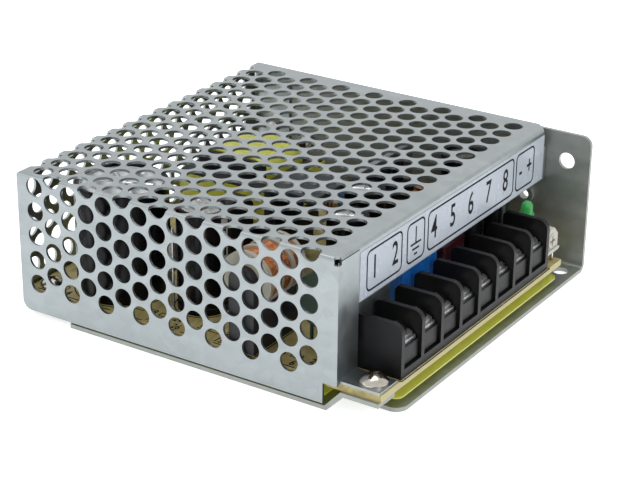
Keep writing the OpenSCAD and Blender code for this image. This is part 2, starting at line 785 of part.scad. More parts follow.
module film_capacitor() {
    color("firebrick") translate([film_box.x, film_box.y, board_top + 0.6]) {
        moulded(4.4, 10.4, 11.4, 1.2);
        for (s = [-1, 1]) translate([0, s * film_lead, -4]) cylinder(r = 0.35, h = 5);
    }
}

// Disc capacitors between the primary and the secondary side
module suppression_capacitors() {
    color("steelblue") for (p = suppressors) translate([p.x, p.y, board_top + 5.4]) {
        rotate([0, 90, 0]) translate([0, 0, -1.6]) cylinder(r = 3.6, h = 3.2);
        for (s = [-1, 1]) translate([0, s * suppressor_lead, -8.6]) cylinder(r = 0.3, h = 7);
    }
}

// Glass fuse lying along X
module fuse() {
    color("whitesmoke") translate([clips[0] - 1.2, fuse_y, board_top + 5.4]) rotate([0, 90, 0]) {
        cylinder(r = 2.3, h = 20);
        for (x = [0, 14.6]) translate([0, 0, x]) cylinder(r = 2.6, h = 5.4);
    }
}

module fuse_clips() {
    color("gold") for (x = clips) translate([x, fuse_y, board_top]) {
        difference() {
            translate([0, -3.2, 0]) cube([clip_l, 6.4, 7]);
            translate([-1, 0, 5.4]) rotate([0, 90, 0]) cylinder(r = 2.6, h = clip_l + 2);
            translate([-1, -1.9, 5.4]) cube([clip_l + 2, 3.8, 4]);
            translate([-1, -2.6, 0.5]) cube([clip_l + 2, 5.2, 3]);
        }
        translate([clip_l / 2 - 0.5, -0.5, -2.6]) cube([1, 1, 3]);
    }
}

module bridge_rectifier() {
    color("black") translate([bridge.x, bridge.y, board_top]) {
        translate([0, 0, 3.4]) difference() {
            translate([-1.9, -9.5, 0]) cube([3.8, 19, 15]);
            translate([-3, 9.5, 15]) rotate([45, 0, 0]) translate([0, -2, -2]) cube([6, 4, 4]);
        }
        for (y = bridge_legs) translate([-0.4, y - 0.5, -3]) cube([0.8, 1, 6.5]);
    }
}

// Aluminium plate with its top folded over the transistor
module primary_heatsink() {
    t = 1.5;
    h = 20.4;
    color("slategray") translate([-9.6, -6.5, board_top]) difference() {
        union() {
            cube([t, 15, h]);
            translate([0, 0, h - t]) cube([14.5, 15, t]);
        }
        translate([-1, 7.5, 15.2]) rotate([0, 90, 0]) cylinder(r = 1.6, h = 4);
    }
}

// Flat power package with a metal tab, standing against a plate on its -X side
module power_package() {
    difference() {
        union() {
            translate([0, -5, 2.7]) cube([4.5, 10, 9.2]);
            translate([0, -5, 2.7]) cube([1.3, 10, 15.4]);
            for (y = [-power_leg, 0, power_leg]) translate([2.2, y - 0.45, -3.4]) cube([0.5, 0.9, 6.4]);
        }
        translate([-1, 0, 15.2]) rotate([0, 90, 0]) cylinder(r = 1.8, h = 5);
    }
}

module switching_transistor() {
    color("dimgray") translate([powers[0].x, powers[0].y, board_top]) power_package();
}

module secondary_heatsink() {
    color("silver") translate([2, 13, board_top]) cube([1.5, 28, 19.5]);
}

module output_rectifiers() {
    color("dimgray") for (p = [powers[1], powers[2]]) translate([p.x, p.y, board_top]) power_package();
}

// ---------------------------------------------------------------- output side

// Rings that stand upright with their axis along X
inductors = [[strip_back - 13.1, 4.5, 8.4], [strip_back - 17.6, 24, 8]];

module output_inductor_cores() {
    color("darkolivegreen") for (p = inductors) translate([p.x, p.y, board_top + p.z + 0.9])
        rotate([0, 90, 0]) translate([0, 0, -3]) difference() {
            cylinder(r = p.z - 0.9, h = 6);
            translate([0, 0, -1]) cylinder(r = p.z / 2 + 0.9, h = 8);
        }
}

module output_inductor_windings() {
    color("peru") for (p = inductors) translate([p.x, p.y, board_top + p.z + 0.9])
        rotate([0, 90, 0]) translate([0, 0, -3.9]) difference() {
            rotate([0, 0, 25]) rotate_extrude(angle = 310) translate([p.z / 2, 0]) square([p.z / 2, 7.8]);
            translate([0, 0, 0.9]) difference() {
                cylinder(r = p.z - 0.9, h = 6);
                translate([0, 0, -1]) cylinder(r = p.z / 2 + 0.9, h = 8);
            }
        }
}

module output_capacitors() {
    color("black") for (p = [[strip_back - 5.6, 19], [strip_back - 5.6, 31.5], [18, 40.2], [10.2, 7], [15.5, -9]])
        translate([p.x, p.y, board_top]) can(output_d, output_h);
}

module optocoupler() {
    color("black") translate([opto.x, opto.y, board_top + 0.4]) {
        moulded(4.6, 6.4, 3.6, 0.2);
        for (x = [-1.27, 1.27], y = [-ic_row, ic_row])
            translate([x - 0.25, y - 0.25, -3.4]) cube([0.5, 0.5, 5.4]);
    }
}

module control_chip() {
    color("black") translate([chip.x, chip.y, board_top + 0.4]) {
        moulded(9.6, 6.4, 3.4, 0.2);
        for (x = chip_legs, y = [-ic_row, ic_row])
            translate([x - 0.25, y - 0.25, -3.4]) cube([0.5, 0.5, 5.4]);
    }
}

module resistors() {
    color("tan") for (p = axials) translate([p.x, p.y, board_top + 1.15]) {
        rotate([0, 90, 0]) translate([0, 0, -3]) cylinder(r = 1.15, h = 6);
        rotate([0, 90, 0]) translate([0, 0, -axial_lead]) cylinder(r = 0.3, h = 2 * axial_lead);
        for (s = [-1, 1]) translate([s * axial_lead, 0, -3.6]) cylinder(r = 0.32, h = 3.6);
    }
}

// ---------------------------------------------------------------- nodes

chassis();
cover();
label();
insulating_film();
circuit_board();
foot_screw();
board_screws();
side_screws();
terminal_block();
terminal_contacts();
for (i = [1:ways]) {
    terminal_screw(i);
    terminal_clamp(i);
}
indicator_lamp();
lamp_leads();
trimmer_body();
trimmer_rotor();
trimmer_pins();
transformer_core();
transformer_bobbin();
transformer_winding();
transformer_tape();
bulk_capacitor_can();
bulk_capacitor_sleeve();
filter_capacitor();
choke_core();
choke_bobbin();
choke_windings();
thermistor();
safety_capacitor();
film_capacitor();
suppression_capacitors();
fuse();
fuse_clips();
bridge_rectifier();
primary_heatsink();
switching_transistor();
secondary_heatsink();
output_rectifiers();
output_inductor_cores();
output_inductor_windings();
output_capacitors();
optocoupler();
control_chip();
resistors();
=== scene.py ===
# %% [markdown]
# # Mesh case switching power supply
#
# The real unit is a folded steel tray with one tall wall, a perforated steel cover that
# folds over three sides, and a circuit board between them. Everything rigid comes from
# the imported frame. This script gives those solids their finishes, and adds the fine
# things that sit on them: turns of wire, print, threads, solder and sleeves.

# %% Load the frame
import json
import math

import bmesh
import bpy
import numpy as np
from mathutils import Matrix, Vector

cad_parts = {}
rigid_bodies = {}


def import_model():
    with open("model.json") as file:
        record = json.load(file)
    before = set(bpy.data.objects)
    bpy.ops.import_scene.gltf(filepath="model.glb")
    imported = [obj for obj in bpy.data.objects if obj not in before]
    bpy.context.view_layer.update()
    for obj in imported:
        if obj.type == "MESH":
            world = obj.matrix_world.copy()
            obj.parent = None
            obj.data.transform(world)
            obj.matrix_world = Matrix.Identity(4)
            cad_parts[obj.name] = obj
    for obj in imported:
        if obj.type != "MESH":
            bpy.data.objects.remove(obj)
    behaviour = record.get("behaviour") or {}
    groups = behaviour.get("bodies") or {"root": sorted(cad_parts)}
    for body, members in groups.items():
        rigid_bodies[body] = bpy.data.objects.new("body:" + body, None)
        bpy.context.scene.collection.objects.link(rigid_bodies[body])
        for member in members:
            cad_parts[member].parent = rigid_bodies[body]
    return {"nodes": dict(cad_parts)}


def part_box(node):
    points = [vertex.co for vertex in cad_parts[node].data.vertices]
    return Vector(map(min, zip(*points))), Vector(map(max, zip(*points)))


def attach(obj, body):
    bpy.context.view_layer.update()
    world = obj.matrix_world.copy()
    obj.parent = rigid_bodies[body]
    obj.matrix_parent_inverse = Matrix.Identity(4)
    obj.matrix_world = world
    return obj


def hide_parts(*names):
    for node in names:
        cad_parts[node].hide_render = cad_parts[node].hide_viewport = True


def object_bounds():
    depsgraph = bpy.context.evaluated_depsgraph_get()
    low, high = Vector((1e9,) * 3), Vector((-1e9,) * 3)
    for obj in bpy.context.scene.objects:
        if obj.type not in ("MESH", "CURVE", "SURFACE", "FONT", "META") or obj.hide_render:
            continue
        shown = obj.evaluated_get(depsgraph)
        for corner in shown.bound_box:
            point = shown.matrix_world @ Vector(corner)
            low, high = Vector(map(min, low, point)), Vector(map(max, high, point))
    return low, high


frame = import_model()
bpy.context.scene.view_settings.view_transform = "Standard"
cad_low, cad_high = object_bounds()
MM = 0.001
rng = np.random.default_rng(7)
print("case in mm:", [round(1000 * (h - l), 1) for l, h in zip(cad_low, cad_high)])

# %% [markdown]
# ## Camera
#
# A product shot of a box looks down on it from one corner with a long lens, so that the
# sides stay nearly parallel. The camera could be aimed with a constraint, but a matrix
# built from its three directions keeps the small roll exact and needs no helper object.

# %% Camera
camera_place = Vector((0.2252, -0.3488, 0.1959))
right = Vector((0.83965, 0.54301, 0.01181))
up = Vector((-0.22750, 0.33188, 0.91547))
back = right.cross(up).normalized()
lens = bpy.data.cameras.new("camera")
lens.lens = 106.17
lens.sensor_width = 36
lens.clip_start = 0.02
lens.clip_end = 5
camera = bpy.data.objects.new("camera", lens)
scene_objects = bpy.context.scene.collection.objects
scene_objects.link(camera)
turned_to = Matrix((right, up, back)).transposed().to_4x4()
camera.matrix_world = Matrix.Translation(camera_place) @ turned_to
bpy.context.scene.camera = camera
print("camera stands", round(camera_place.length, 3), "m from the middle of the base")

# %% [markdown]
# ## Light, floor and world
#
# Bare zinc has hardly any colour of its own: it shows what is around it. So the light is
# three big soft panels, the strongest above, the others to the left of the near side and
# in front of the terminals, and a world that is darker near the ground, which gives the
# upright walls their slow change from light to dark. Camera, mirror and see-through rays
# find plain white, so the background stays white without more light on the case.

# %% Node helpers
def node_of(tree, kind, **values):
    """New shader node with its inputs set by name."""
    made = tree.nodes.new(kind)
    for name, value in values.items():
        made.inputs[name.replace("_", " ")].default_value = value
    return made


def ramp_of(tree, *stops):
    """Colour ramp whose two ends are (position, colour) pairs."""
    ramp = tree.nodes.new("ShaderNodeValToRGB")
    for end, (position, colour) in zip(ramp.color_ramp.elements, stops):
        end.position = position
        end.color = (*colour, 1)
    return ramp


def seen_rays(tree):
    """Socket that is 1 for the camera's rays and for those that metal or glass sends on."""
    rays = tree.nodes.new("ShaderNodeLightPath")
    total = rays.outputs["Is Camera Ray"]
    for kind in ("Is Glossy Ray", "Is Transmission Ray"):
        either = tree.nodes.new("ShaderNodeMath")
        either.operation = "MAXIMUM"
        tree.links.new(total, either.inputs[0])
        tree.links.new(rays.outputs[kind], either.inputs[1])
        total = either.outputs[0]
    return total


def by_ray(tree, out, others, seen):
    """Gives the output one shader for the rays of seen_rays and another for all others."""
    mix = tree.nodes.new("ShaderNodeMixShader")
    tree.links.new(seen_rays(tree), mix.inputs["Fac"])
    tree.links.new(others.outputs[0], mix.inputs[1])
    tree.links.new(seen.outputs[0], mix.inputs[2])
    tree.links.new(mix.outputs[0], out.inputs["Surface"])

# %% World
SKY_STRENGTH = 0.80


def sky():
    """World colour by the direction's height: grey below the horizon, pale above it."""
    world = bpy.data.worlds.new("sky")
    bpy.context.scene.world = world
    world.use_nodes = True
    tree = world.node_tree
    tree.nodes.clear()
    out = tree.nodes.new("ShaderNodeOutputWorld")
    seen = node_of(tree, "ShaderNodeBackground", Color=(1, 1, 1, 1))
    lit = node_of(tree, "ShaderNodeBackground", Strength=SKY_STRENGTH)
    place = tree.nodes.new("ShaderNodeTexCoord")
    split = tree.nodes.new("ShaderNodeSeparateXYZ")
    ramp = ramp_of(tree, (0.0, (0.30, 0.31, 0.32)), (0.75, (0.92, 0.95, 1.0)))
    link = tree.links.new
    link(place.outputs["Generated"], split.inputs[0])
    link(split.outputs["Z"], ramp.inputs["Fac"])
    link(ramp.outputs["Color"], lit.inputs["Color"])
    by_ray(tree, out, lit, seen)


sky()
print("world:", bpy.context.scene.world.name)

# %% Floor
FLOOR_HALF = 3.0
FLOOR_GAP = 0.0002


def floor_finish():
    """Matt off-white. The camera, mirrors and clear things see it with a glow on top, so it
    looks white to them apart from the shadow."""
    material = bpy.data.materials.new("floor")
    material.use_nodes = True
    tree = material.node_tree
    tree.nodes.clear()
    out = tree.nodes.new("ShaderNodeOutputMaterial")
    matt = node_of(tree, "ShaderNodeBsdfDiffuse", Color=(0.92, 0.92, 0.92, 1))
    glow = node_of(tree, "ShaderNodeEmission", Color=(0.72, 0.72, 0.72, 1))
    both = tree.nodes.new("ShaderNodeAddShader")
    tree.links.new(matt.outputs[0], both.inputs[0])
    tree.links.new(glow.outputs[0], both.inputs[1])
    by_ray(tree, out, matt, both)
    return material


floor_mesh = bpy.data.meshes.new("floor")
floor_mesh.from_pydata([(x * FLOOR_HALF, y * FLOOR_HALF, 0)
                        for x, y in ((-1, -1), (1, -1), (1, 1), (-1, 1))], [], [(0, 1, 2, 3)])
floor = bpy.data.objects.new("floor", floor_mesh)
scene_objects.link(floor)
floor.location.z = cad_low.z - FLOOR_GAP
floor_mesh.materials.append(floor_finish())
print("floor lies", FLOOR_GAP / MM, "mm under the case")

# %% Lamps
CASE_MIDDLE = Vector((0, 0, 0.018))


def panel(name, place, size, power):
    """Square area lamp that faces the middle of the case: size in m, power in W."""
    data = bpy.data.lights.new(name, "AREA")
    data.shape = "SQUARE"
    data.size = size
    data.energy = power
    lamp = bpy.data.objects.new(name, data)
    scene_objects.link(lamp)
    lamp.location = place
    aim = CASE_MIDDLE - Vector(place)
    lamp.rotation_euler = aim.to_track_quat("-Z", "Y").to_euler()


panel("top_panel", (-0.10, 0.10, 0.75), 0.6, 2.0)
panel("left_panel", (-0.55, -0.55, 0.30), 0.45, 0.5)
panel("front_panel", (0.75, -0.25, 0.35), 0.35, 0.8)

# %% [markdown]
# ## Finishes
#
# Each finish is a Principled shader whose colour and roughness wander a little between
# two values, driven by noise in Object coordinates, so no surface is one flat colour.
# One function builds that base. Finishes that need more, such as the spangle of zinc or
# the fibres of the board, add their own pattern on top of it.

# %% Base finish
NOISE_LOW, NOISE_HIGH = 0.3, 0.7    # nearly all of a noise pattern lies between these


def finish(name, dark, light, grain_mm, rough, metallic=0.0, relief_mm=0.0,
           relief_grain_mm=0.3, stretch=(1, 1, 1), **sockets):
    """Principled finish. Colour runs from dark to light with noise of the given grain, and
    roughness runs over its range with the same noise. Relief is a fine bump of that height.
    Stretch squeezes all the noise along an axis by that factor."""
    material = bpy.data.materials.new(name)
    material.use_nodes = True
    tree = material.node_tree
    shader = tree.nodes["Principled BSDF"]
    shader.inputs["Metallic"].default_value = metallic
    for socket, value in sockets.items():
        shader.inputs[socket.replace("_", " ")].default_value = value
    place = tree.nodes.new("ShaderNodeTexCoord")
    turn = node_of(tree, "ShaderNodeMapping", Scale=stretch)
    noise = node_of(tree, "ShaderNodeTexNoise", Scale=1 / (grain_mm * MM), Detail=5.0,
                    Roughness=0.6)
    ramp = ramp_of(tree, (NOISE_LOW, dark), (NOISE_HIGH, light))
    spread = node_of(tree, "ShaderNodeMapRange", From_Min=NOISE_LOW, From_Max=NOISE_HIGH,
                     To_Min=rough[0], To_Max=rough[1])
    link = tree.links.new
    link(place.outputs["Object"], turn.inputs["Vector"])
    link(turn.outputs[0], noise.inputs["Vector"])
    link(noise.outputs["Fac"], ramp.inputs["Fac"])
    link(noise.outputs["Fac"], spread.inputs["Value"])
    link(ramp.outputs["Color"], shader.inputs["Base Color"])
    link(spread.outputs["Result"], shader.inputs["Roughness"])
    if relief_mm:
        fine = node_of(tree, "ShaderNodeTexNoise", Scale=1 / (relief_grain_mm * MM), Detail=4.0)
        bump = node_of(tree, "ShaderNodeBump", Strength=0.6, Distance=relief_mm * MM)
        link(turn.outputs[0], fine.inputs["Vector"])
        link(fine.outputs["Fac"], bump.inputs["Height"])
        link(bump.outputs["Normal"], shader.inputs["Normal"])
    return material


def colour_nodes(material):
    """The tree, its shader and the socket that has its Object coordinates."""
    tree = material.node_tree
    kinds = {n.bl_idname: n for n in tree.nodes}
    place = kinds["ShaderNodeTexCoord"].outputs["Object"]
    return tree, kinds["ShaderNodeBsdfPrincipled"], place


def blend_in(material, mask, colour):
    """Lays a second colour over the finish wherever the mask socket is 1."""
    tree, shader, _ = colour_nodes(material)
    under = shader.inputs["Base Color"].links[0].from_socket
    mix = tree.nodes.new("ShaderNodeMix")
    mix.data_type = "RGBA"
    mix.inputs[7].default_value = (*colour, 1)
    tree.links.new(mask, mix.inputs[0])
    tree.links.new(under, mix.inputs[6])
    tree.links.new(mix.outputs[2], shader.inputs["Base Color"])

# %% [markdown]
# ### Zinc coated sheet
#
# Zinc freezes on steel in crystals that meet along straight edges, each a little lighter
# or darker than the next. Voronoi cells give those patches. Rolling leaves faint streaks
# along the sheet: noise drawn out along X, in the colour and in the bump.

# %% Zinc finishes
SPANGLE_MM = 2.4
SPANGLE_MIX = 0.26     # how far the darkest crystal goes towards the spangle's tone
SPANGLE_TONE = 0.72    # that tone, as a part of the dark colour


def zinc(name, dark, light, rough, metallic):
    """Steel sheet with a faint spangle of Voronoi cells and long rolling marks."""
    material = finish(name, dark, light, grain_mm=22, rough=rough, metallic=metallic,
                      relief_mm=0.008, relief_grain_mm=0.6, stretch=(1, 6, 6))
    tree, _, place = colour_nodes(material)
    cells = node_of(tree, "ShaderNodeTexVoronoi", Scale=1 / (SPANGLE_MM * MM))
    tone = tree.nodes.new("ShaderNodeSeparateColor")
    level = node_of(tree, "ShaderNodeMapRange", To_Min=0.0, To_Max=SPANGLE_MIX)
    link = tree.links.new
    link(place, cells.inputs["Vector"])
    link(cells.outputs["Color"], tone.inputs[0])
    link(tone.outputs[0], level.inputs["Value"])
    blend_in(material, level.outputs["Result"], tuple(SPANGLE_TONE * c for c in dark))
    return material


cover_zinc = zinc("cover_zinc", (0.322, 0.356, 0.362), (0.385, 0.418, 0.425), (0.30, 0.40), 0.92)
chassis_zinc = zinc("chassis_zinc", (0.335, 0.352, 0.325), (0.402, 0.419, 0.390), (0.40, 0.52),
                    0.7)
print("zinc finishes:", [m.name for m in (cover_zinc, chassis_zinc)])

# %% [markdown]
# ### Plated screws, wire and aluminium
#
# Nickel on a stamped screw is smooth and slightly warm. Tinned wire and brass are
# duller. A capacitor's can is drawn aluminium, brighter than a sawn heatsink, and the
# heatsink on the mains side is dark grey. After its two colours each finish takes its
# grain, its range of roughness, and then metallic, relief and relief grain.

# %% Bright metals
nickel = finish("nickel", (0.44, 0.41, 0.36), (0.58, 0.55, 0.49), 2, (0.14, 0.24), 1.0, 0.004, 0.4)
tinned = finish("tinned", (0.55, 0.56, 0.57), (0.72, 0.72, 0.71), 2, (0.25, 0.42), 1.0, 0.006, 0.5)
tinned_brass = finish("tinned_brass", (0.52, 0.45, 0.28), (0.68, 0.62, 0.42), 2, (0.3, 0.45), 1.0)
solder = finish("solder", (0.50, 0.51, 0.52), (0.70, 0.71, 0.72), 1, (0.12, 0.3), 1.0, 0.01, 0.4)
can_aluminium = finish("can_aluminium", (0.70, 0.71, 0.72), (0.86, 0.86, 0.86), 3, (0.22, 0.36),
                       1.0, 0.006, 0.5)
plate_aluminium = finish("plate_aluminium", (0.50, 0.51, 0.53), (0.64, 0.65, 0.67), 4,
                         (0.35, 0.5), 1.0, 0.01, 0.3, (8, 1, 1))
grey_aluminium = finish("grey_aluminium", (0.05, 0.053, 0.057), (0.085, 0.088, 0.094), 4,
                        (0.45, 0.6), 0.3, 0.01, 0.4)
print("finishes so far:", len(bpy.data.materials))

# %% [markdown]
# ### Mouldings, ferrite, tape and epoxy
#
# The terminal strip is a satin black moulding. Electronic parts are matt or satin too, so
# they differ mostly in colour, sheen and grain: ferrite is a sooty grey stone, tape is
# glossy with creases, and dipped epoxy is waxy with an orange peel relief.

# %% Plastics and coatings
black_moulding = finish("black_moulding", (0.006, 0.006, 0.0065), (0.009, 0.009, 0.010), 3,
                        (0.36, 0.46), 0.0, 0.003, 0.25, Specular_IOR_Level=0.24)
black_body = finish("black_body", (0.007, 0.007, 0.007), (0.014, 0.014, 0.014), 1.5,
                    (0.4, 0.55), 0.0, 0.01, 0.15, Specular_IOR_Level=0.35)
white_moulding = finish("white_moulding", (0.58, 0.56, 0.48), (0.68, 0.66, 0.58), 2, (0.3, 0.42),
                        0.0, 0.004, 0.3, Subsurface_Weight=0.15, Subsurface_Scale=0.0006)
cream_moulding = finish("cream_moulding", (0.62, 0.57, 0.44), (0.76, 0.71, 0.58), 2, (0.35, 0.5),
                        0.0, 0.006, 0.3, Subsurface_Weight=0.1, Subsurface_Scale=0.0006)
ferrite = finish("ferrite", (0.018, 0.018, 0.020), (0.040, 0.040, 0.043), 0.8, (0.55, 0.75),
                 0.0, 0.02, 0.15)
powder_core = finish("powder_core", (0.030, 0.055, 0.035), (0.055, 0.085, 0.055), 1, (0.5, 0.65),
                     0.0, 0.02, 0.2)
copper = finish("copper", (0.45, 0.13, 0.035), (0.66, 0.26, 0.09), 1.2, (0.2, 0.32), 0.85,
                Coat_Weight=0.5, Coat_Roughness=0.15)
yellow_tape = finish("yellow_tape", (0.84, 0.84, 0.07), (0.94, 0.94, 0.12), 3, (0.14, 0.26), 0.0,
                     0.03, 1.6, Coat_Weight=0.4, Coat_Roughness=0.1)
green_epoxy = finish("green_epoxy", (0.012, 0.045, 0.022), (0.02, 0.075, 0.036), 2, (0.35, 0.5),
                     0.0, 0.03, 0.6)
blue_epoxy = finish("blue_epoxy", (0.010, 0.13, 0.48), (0.018, 0.19, 0.62), 3, (0.18, 0.3), 0.0,
                    0.02, 0.8, Coat_Weight=0.3, Coat_Roughness=0.2)
red_epoxy = finish("red_epoxy", (0.036, 0.005, 0.009), (0.064, 0.009, 0.014), 2, (0.25, 0.4), 0.0,
                   0.03, 0.8)
beige_lacquer = finish("beige_lacquer", (0.36, 0.27, 0.15), (0.48, 0.37, 0.23), 1, (0.3, 0.45))
sleeve_black = finish("sleeve_black", (0.003, 0.003, 0.0035), (0.006, 0.006, 0.007), 4,
                      (0.22, 0.34), 0.0, 0.006, 0.8, Specular_IOR_Level=0.2)
print("finishes so far:", len(bpy.data.materials))

# %% [markdown]
# ### Clear things
#
# The film under the board is a thin yellow green sheet, the lamp is a tinted resin and
# the fuse is a glass tube. A sheet of real glass costs many bounces, so the film is
# mostly a coloured surface that lets some light through, which renders clean, with a
# faint painted glow that stands in for the light coming through its edge.

# %% Clear finishes
# the film's emission is a painted glow: it stands in for light that comes through the sheet's edge
film_clear_painted_glow = finish("film_clear_painted_glow", (0.68, 0.69, 0.12), (0.79, 0.80, 0.20), 12, (0.12, 0.24), 0.0,
                    0.01, 3, Transmission_Weight=0.25, IOR=1.5, Alpha=0.9,
                    Emission_Strength=0.08, Emission_Color=(0.75, 0.80, 0.10, 1))
lamp_resin = finish("lamp_resin", (0.09, 0.56, 0.15), (0.14, 0.66, 0.22), 2, (0.04, 0.08), 0.0,
                    Transmission_Weight=0.45, IOR=1.5, Emission_Strength=0.06,
                    Emission_Color=(0.12, 0.9, 0.25, 1))
fuse_glass = finish("fuse_glass", (0.85, 0.88, 0.87), (0.92, 0.94, 0.93), 3, (0.03, 0.06), 0.0,
                    Transmission_Weight=0.9, IOR=1.5)
print("clear finishes:", [m.name for m in (film_clear_painted_glow, lamp_resin, fuse_glass)])

# %% [markdown]
# ### Board and label
#
# Cheap single sided boards are pressed paper and resin, tan with short fibres, and paler
# where the edge is sawn. The soldered side is out of sight, and the upper side has
# printed outlines, added below as thin ink. The label is satin with a slight blue cast.

# %% Board and label finishes
board_paper = finish("board_paper", (0.46, 0.37, 0.135), (0.72, 0.60, 0.25), 3, (0.35, 0.5), 0.0,
                     0.01, 0.3)
board_tree, _, board_place = colour_nodes(board_paper)
fibre = node_of(board_tree, "ShaderNodeTexNoise", Scale=900.0, Detail=3.0)
fibre_turn = node_of(board_tree, "ShaderNodeMapping", Scale=(1, 0.18, 1))
fibre_level = node_of(board_tree, "ShaderNodeMapRange", From_Min=0.52, From_Max=0.68,
                      To_Min=0.0, To_Max=0.35)
board_tree.links.new(board_place, fibre_turn.inputs["Vector"])
board_tree.links.new(fibre_turn.outputs[0], fibre.inputs["Vector"])
board_tree.links.new(fibre.outputs["Fac"], fibre_level.inputs["Value"])
blend_in(board_paper, fibre_level.outputs["Result"], (0.18, 0.135, 0.05))
# The sawn edge is the face within a hair of the board's highest X
EDGE_SKIN = 0.02 * MM
cut_split = board_tree.nodes.new("ShaderNodeSeparateXYZ")
cut_edge = board_tree.nodes.new("ShaderNodeMath")
cut_edge.operation = "GREATER_THAN"
cut_edge.inputs[1].default_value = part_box("circuit_board")[1][0] - EDGE_SKIN
board_tree.links.new(board_place, cut_split.inputs[0])
board_tree.links.new(cut_split.outputs["X"], cut_edge.inputs[0])
blend_in(board_paper, cut_edge.outputs[0], (0.66, 0.58, 0.28))
label_paper = finish("label_paper", (0.58, 0.63, 0.70), (0.64, 0.69, 0.76), 9, (0.22, 0.34), 0.0,
                     0.004, 0.8)
ink = finish("ink", (0.004, 0.004, 0.005), (0.010, 0.010, 0.012), 1, (0.55, 0.7),
             Specular_IOR_Level=0.15)
white_ink = finish("white_ink", (0.62, 0.62, 0.60), (0.76, 0.76, 0.73), 1, (0.4, 0.55))
print("finishes so far:", len(bpy.data.materials))

# %% Give every solid its finish
wearers = [
    (chassis_zinc, "chassis"), (cover_zinc, "cover"), (label_paper, "label"),
    (film_clear_painted_glow, "insulating_film"), (board_paper, "circuit_board"),
    (nickel, "foot_screw board_screws side_screws terminal_screw"),
    (tinned, "terminal_contacts terminal_clamp lamp_leads trimmer_pins"),
    (black_moulding, "terminal_block"), (lamp_resin, "indicator_lamp"),
    (white_moulding, "trimmer_body trimmer_rotor"), (cream_moulding, "choke_bobbin"),
    (ferrite, "transformer_core choke_core"), (powder_core, "output_inductor_cores"),
    (yellow_tape, "transformer_winding transformer_tape"),
    (copper, "choke_windings output_inductor_windings"),
    (can_aluminium, "bulk_capacitor_can"),
    (sleeve_black, "bulk_capacitor_sleeve filter_capacitor output_capacitors"),
    (green_epoxy, "thermistor"), (red_epoxy, "film_capacitor"),
    (blue_epoxy, "safety_capacitor suppression_capacitors"),
    (fuse_glass, "fuse"), (tinned_brass, "fuse_clips"), (beige_lacquer, "resistors"),
    (grey_aluminium, "primary_heatsink"), (plate_aluminium, "secondary_heatsink"),
    (black_body, "transformer_bobbin bridge_rectifier switching_transistor "
                 "output_rectifiers optocoupler control_chip"),
]
node_finish = {name: material for material, names in wearers for name in names.split()}
for name, solid in frame["nodes"].items():
    solid.data.materials.clear()
    # the screws and clamps of the terminals carry a number after their name
    solid.data.materials.append(node_finish[name.rstrip("_12345678")])
print("solids with a finish:", len(frame["nodes"]))

# %% [markdown]
# ## Surfaces from formulas
#
# Every fine piece below is a grid of points: two parameters run over the surface and an
# array formula gives all the corners at once. A piece may join several such grids. The
# seams are welded afterwards and the faces turned outwards, so each shell is closed.

# %% Grid surfaces
def grid_faces(rows, columns, wrap_rows, wrap_columns):
    """Corner numbers of the quads between neighbouring rows and columns of a grid."""
    i = np.arange(rows if wrap_rows else rows - 1)[:, None]
    j = np.arange(columns if wrap_columns else columns - 1)[None, :]
    i2, j2 = (i + 1) % rows, (j + 1) % columns
    quads = [i * columns + j, i2 * columns + j, i2 * columns + j2, i * columns + j2]
    return np.stack(np.broadcast_arrays(*quads), -1).reshape(-1, 4)


print("quads of a closed grid of 3 by 4:", len(grid_faces(3, 4, True, True)))

# %% Pieces from grids
def make_piece(name, grids, material, body="case", smooth=True):
    """One object from a list of (points, wrap rows, wrap columns), points in mm. It rides
    with the case unless another body is named."""
    corners, faces, count = [], [], 0
    for points, wrap_rows, wrap_columns in grids:
        rows, columns = points.shape[:2]
        corners.append(points.reshape(-1, 3) * MM)
        faces.append(grid_faces(rows, columns, wrap_rows, wrap_columns) + count)
        count += rows * columns
    corners, faces = np.concatenate(corners), np.concatenate(faces)
    mesh = bpy.data.meshes.new(name)
    mesh.vertices.add(len(corners))
    mesh.vertices.foreach_set("co", corners.ravel())
    mesh.loops.add(faces.size)
    mesh.loops.foreach_set("vertex_index", faces.ravel())
    mesh.polygons.add(len(faces))
    mesh.polygons.foreach_set("loop_start", np.arange(0, faces.size, 4))
    mesh.update(calc_edges=True)
    return finish_piece(name, mesh, material, body, smooth)


WELD = 2e-7
TOO_SHORT = 1e-7
CREASE = math.radians(40)


def finish_piece(name, mesh, material, body, smooth):
    """Welds the seams, turns the faces outwards, and hands the piece to its body."""
    shape = bmesh.new()
    shape.from_mesh(mesh)
    bmesh.ops.remove_doubles(shape, verts=shape.verts, dist=WELD)
    bmesh.ops.dissolve_degenerate(shape, edges=shape.edges, dist=TOO_SHORT)
    bmesh.ops.recalc_face_normals(shape, faces=shape.faces)
    shape.to_mesh(mesh)
    shape.free()
    mesh.polygons.foreach_set("use_smooth", np.full(len(mesh.polygons), smooth))
    if smooth:
        mesh.set_sharp_from_angle(angle=CREASE)
    mesh.materials.append(material)
    piece = bpy.data.objects.new(name, mesh)
    scene_objects.link(piece)
    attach(piece, body)
    return piece

# %% Turned and swept shapes
def full_turn(steps):
    """Even angles round a circle."""
    return np.linspace(0, 2 * np.pi, steps, endpoint=False)


def turned(profile, centre=(0, 0, 0), axis="z", steps=48):
    """Profile of (radius, height) pairs turned once about the z or x axis of its centre."""
    profile = np.asarray(profile, float)
    angle = full_turn(steps)
    radius, height = profile[:, 0][:, None], profile[:, 1][:, None]
    across = radius * np.cos(angle)
    along = radius * np.sin(angle)
    rise = height + 0 * angle
    order = {"z": (across, along, rise), "x": (rise, across, along)}
    return np.stack(order[axis], -1) + centre, False, True


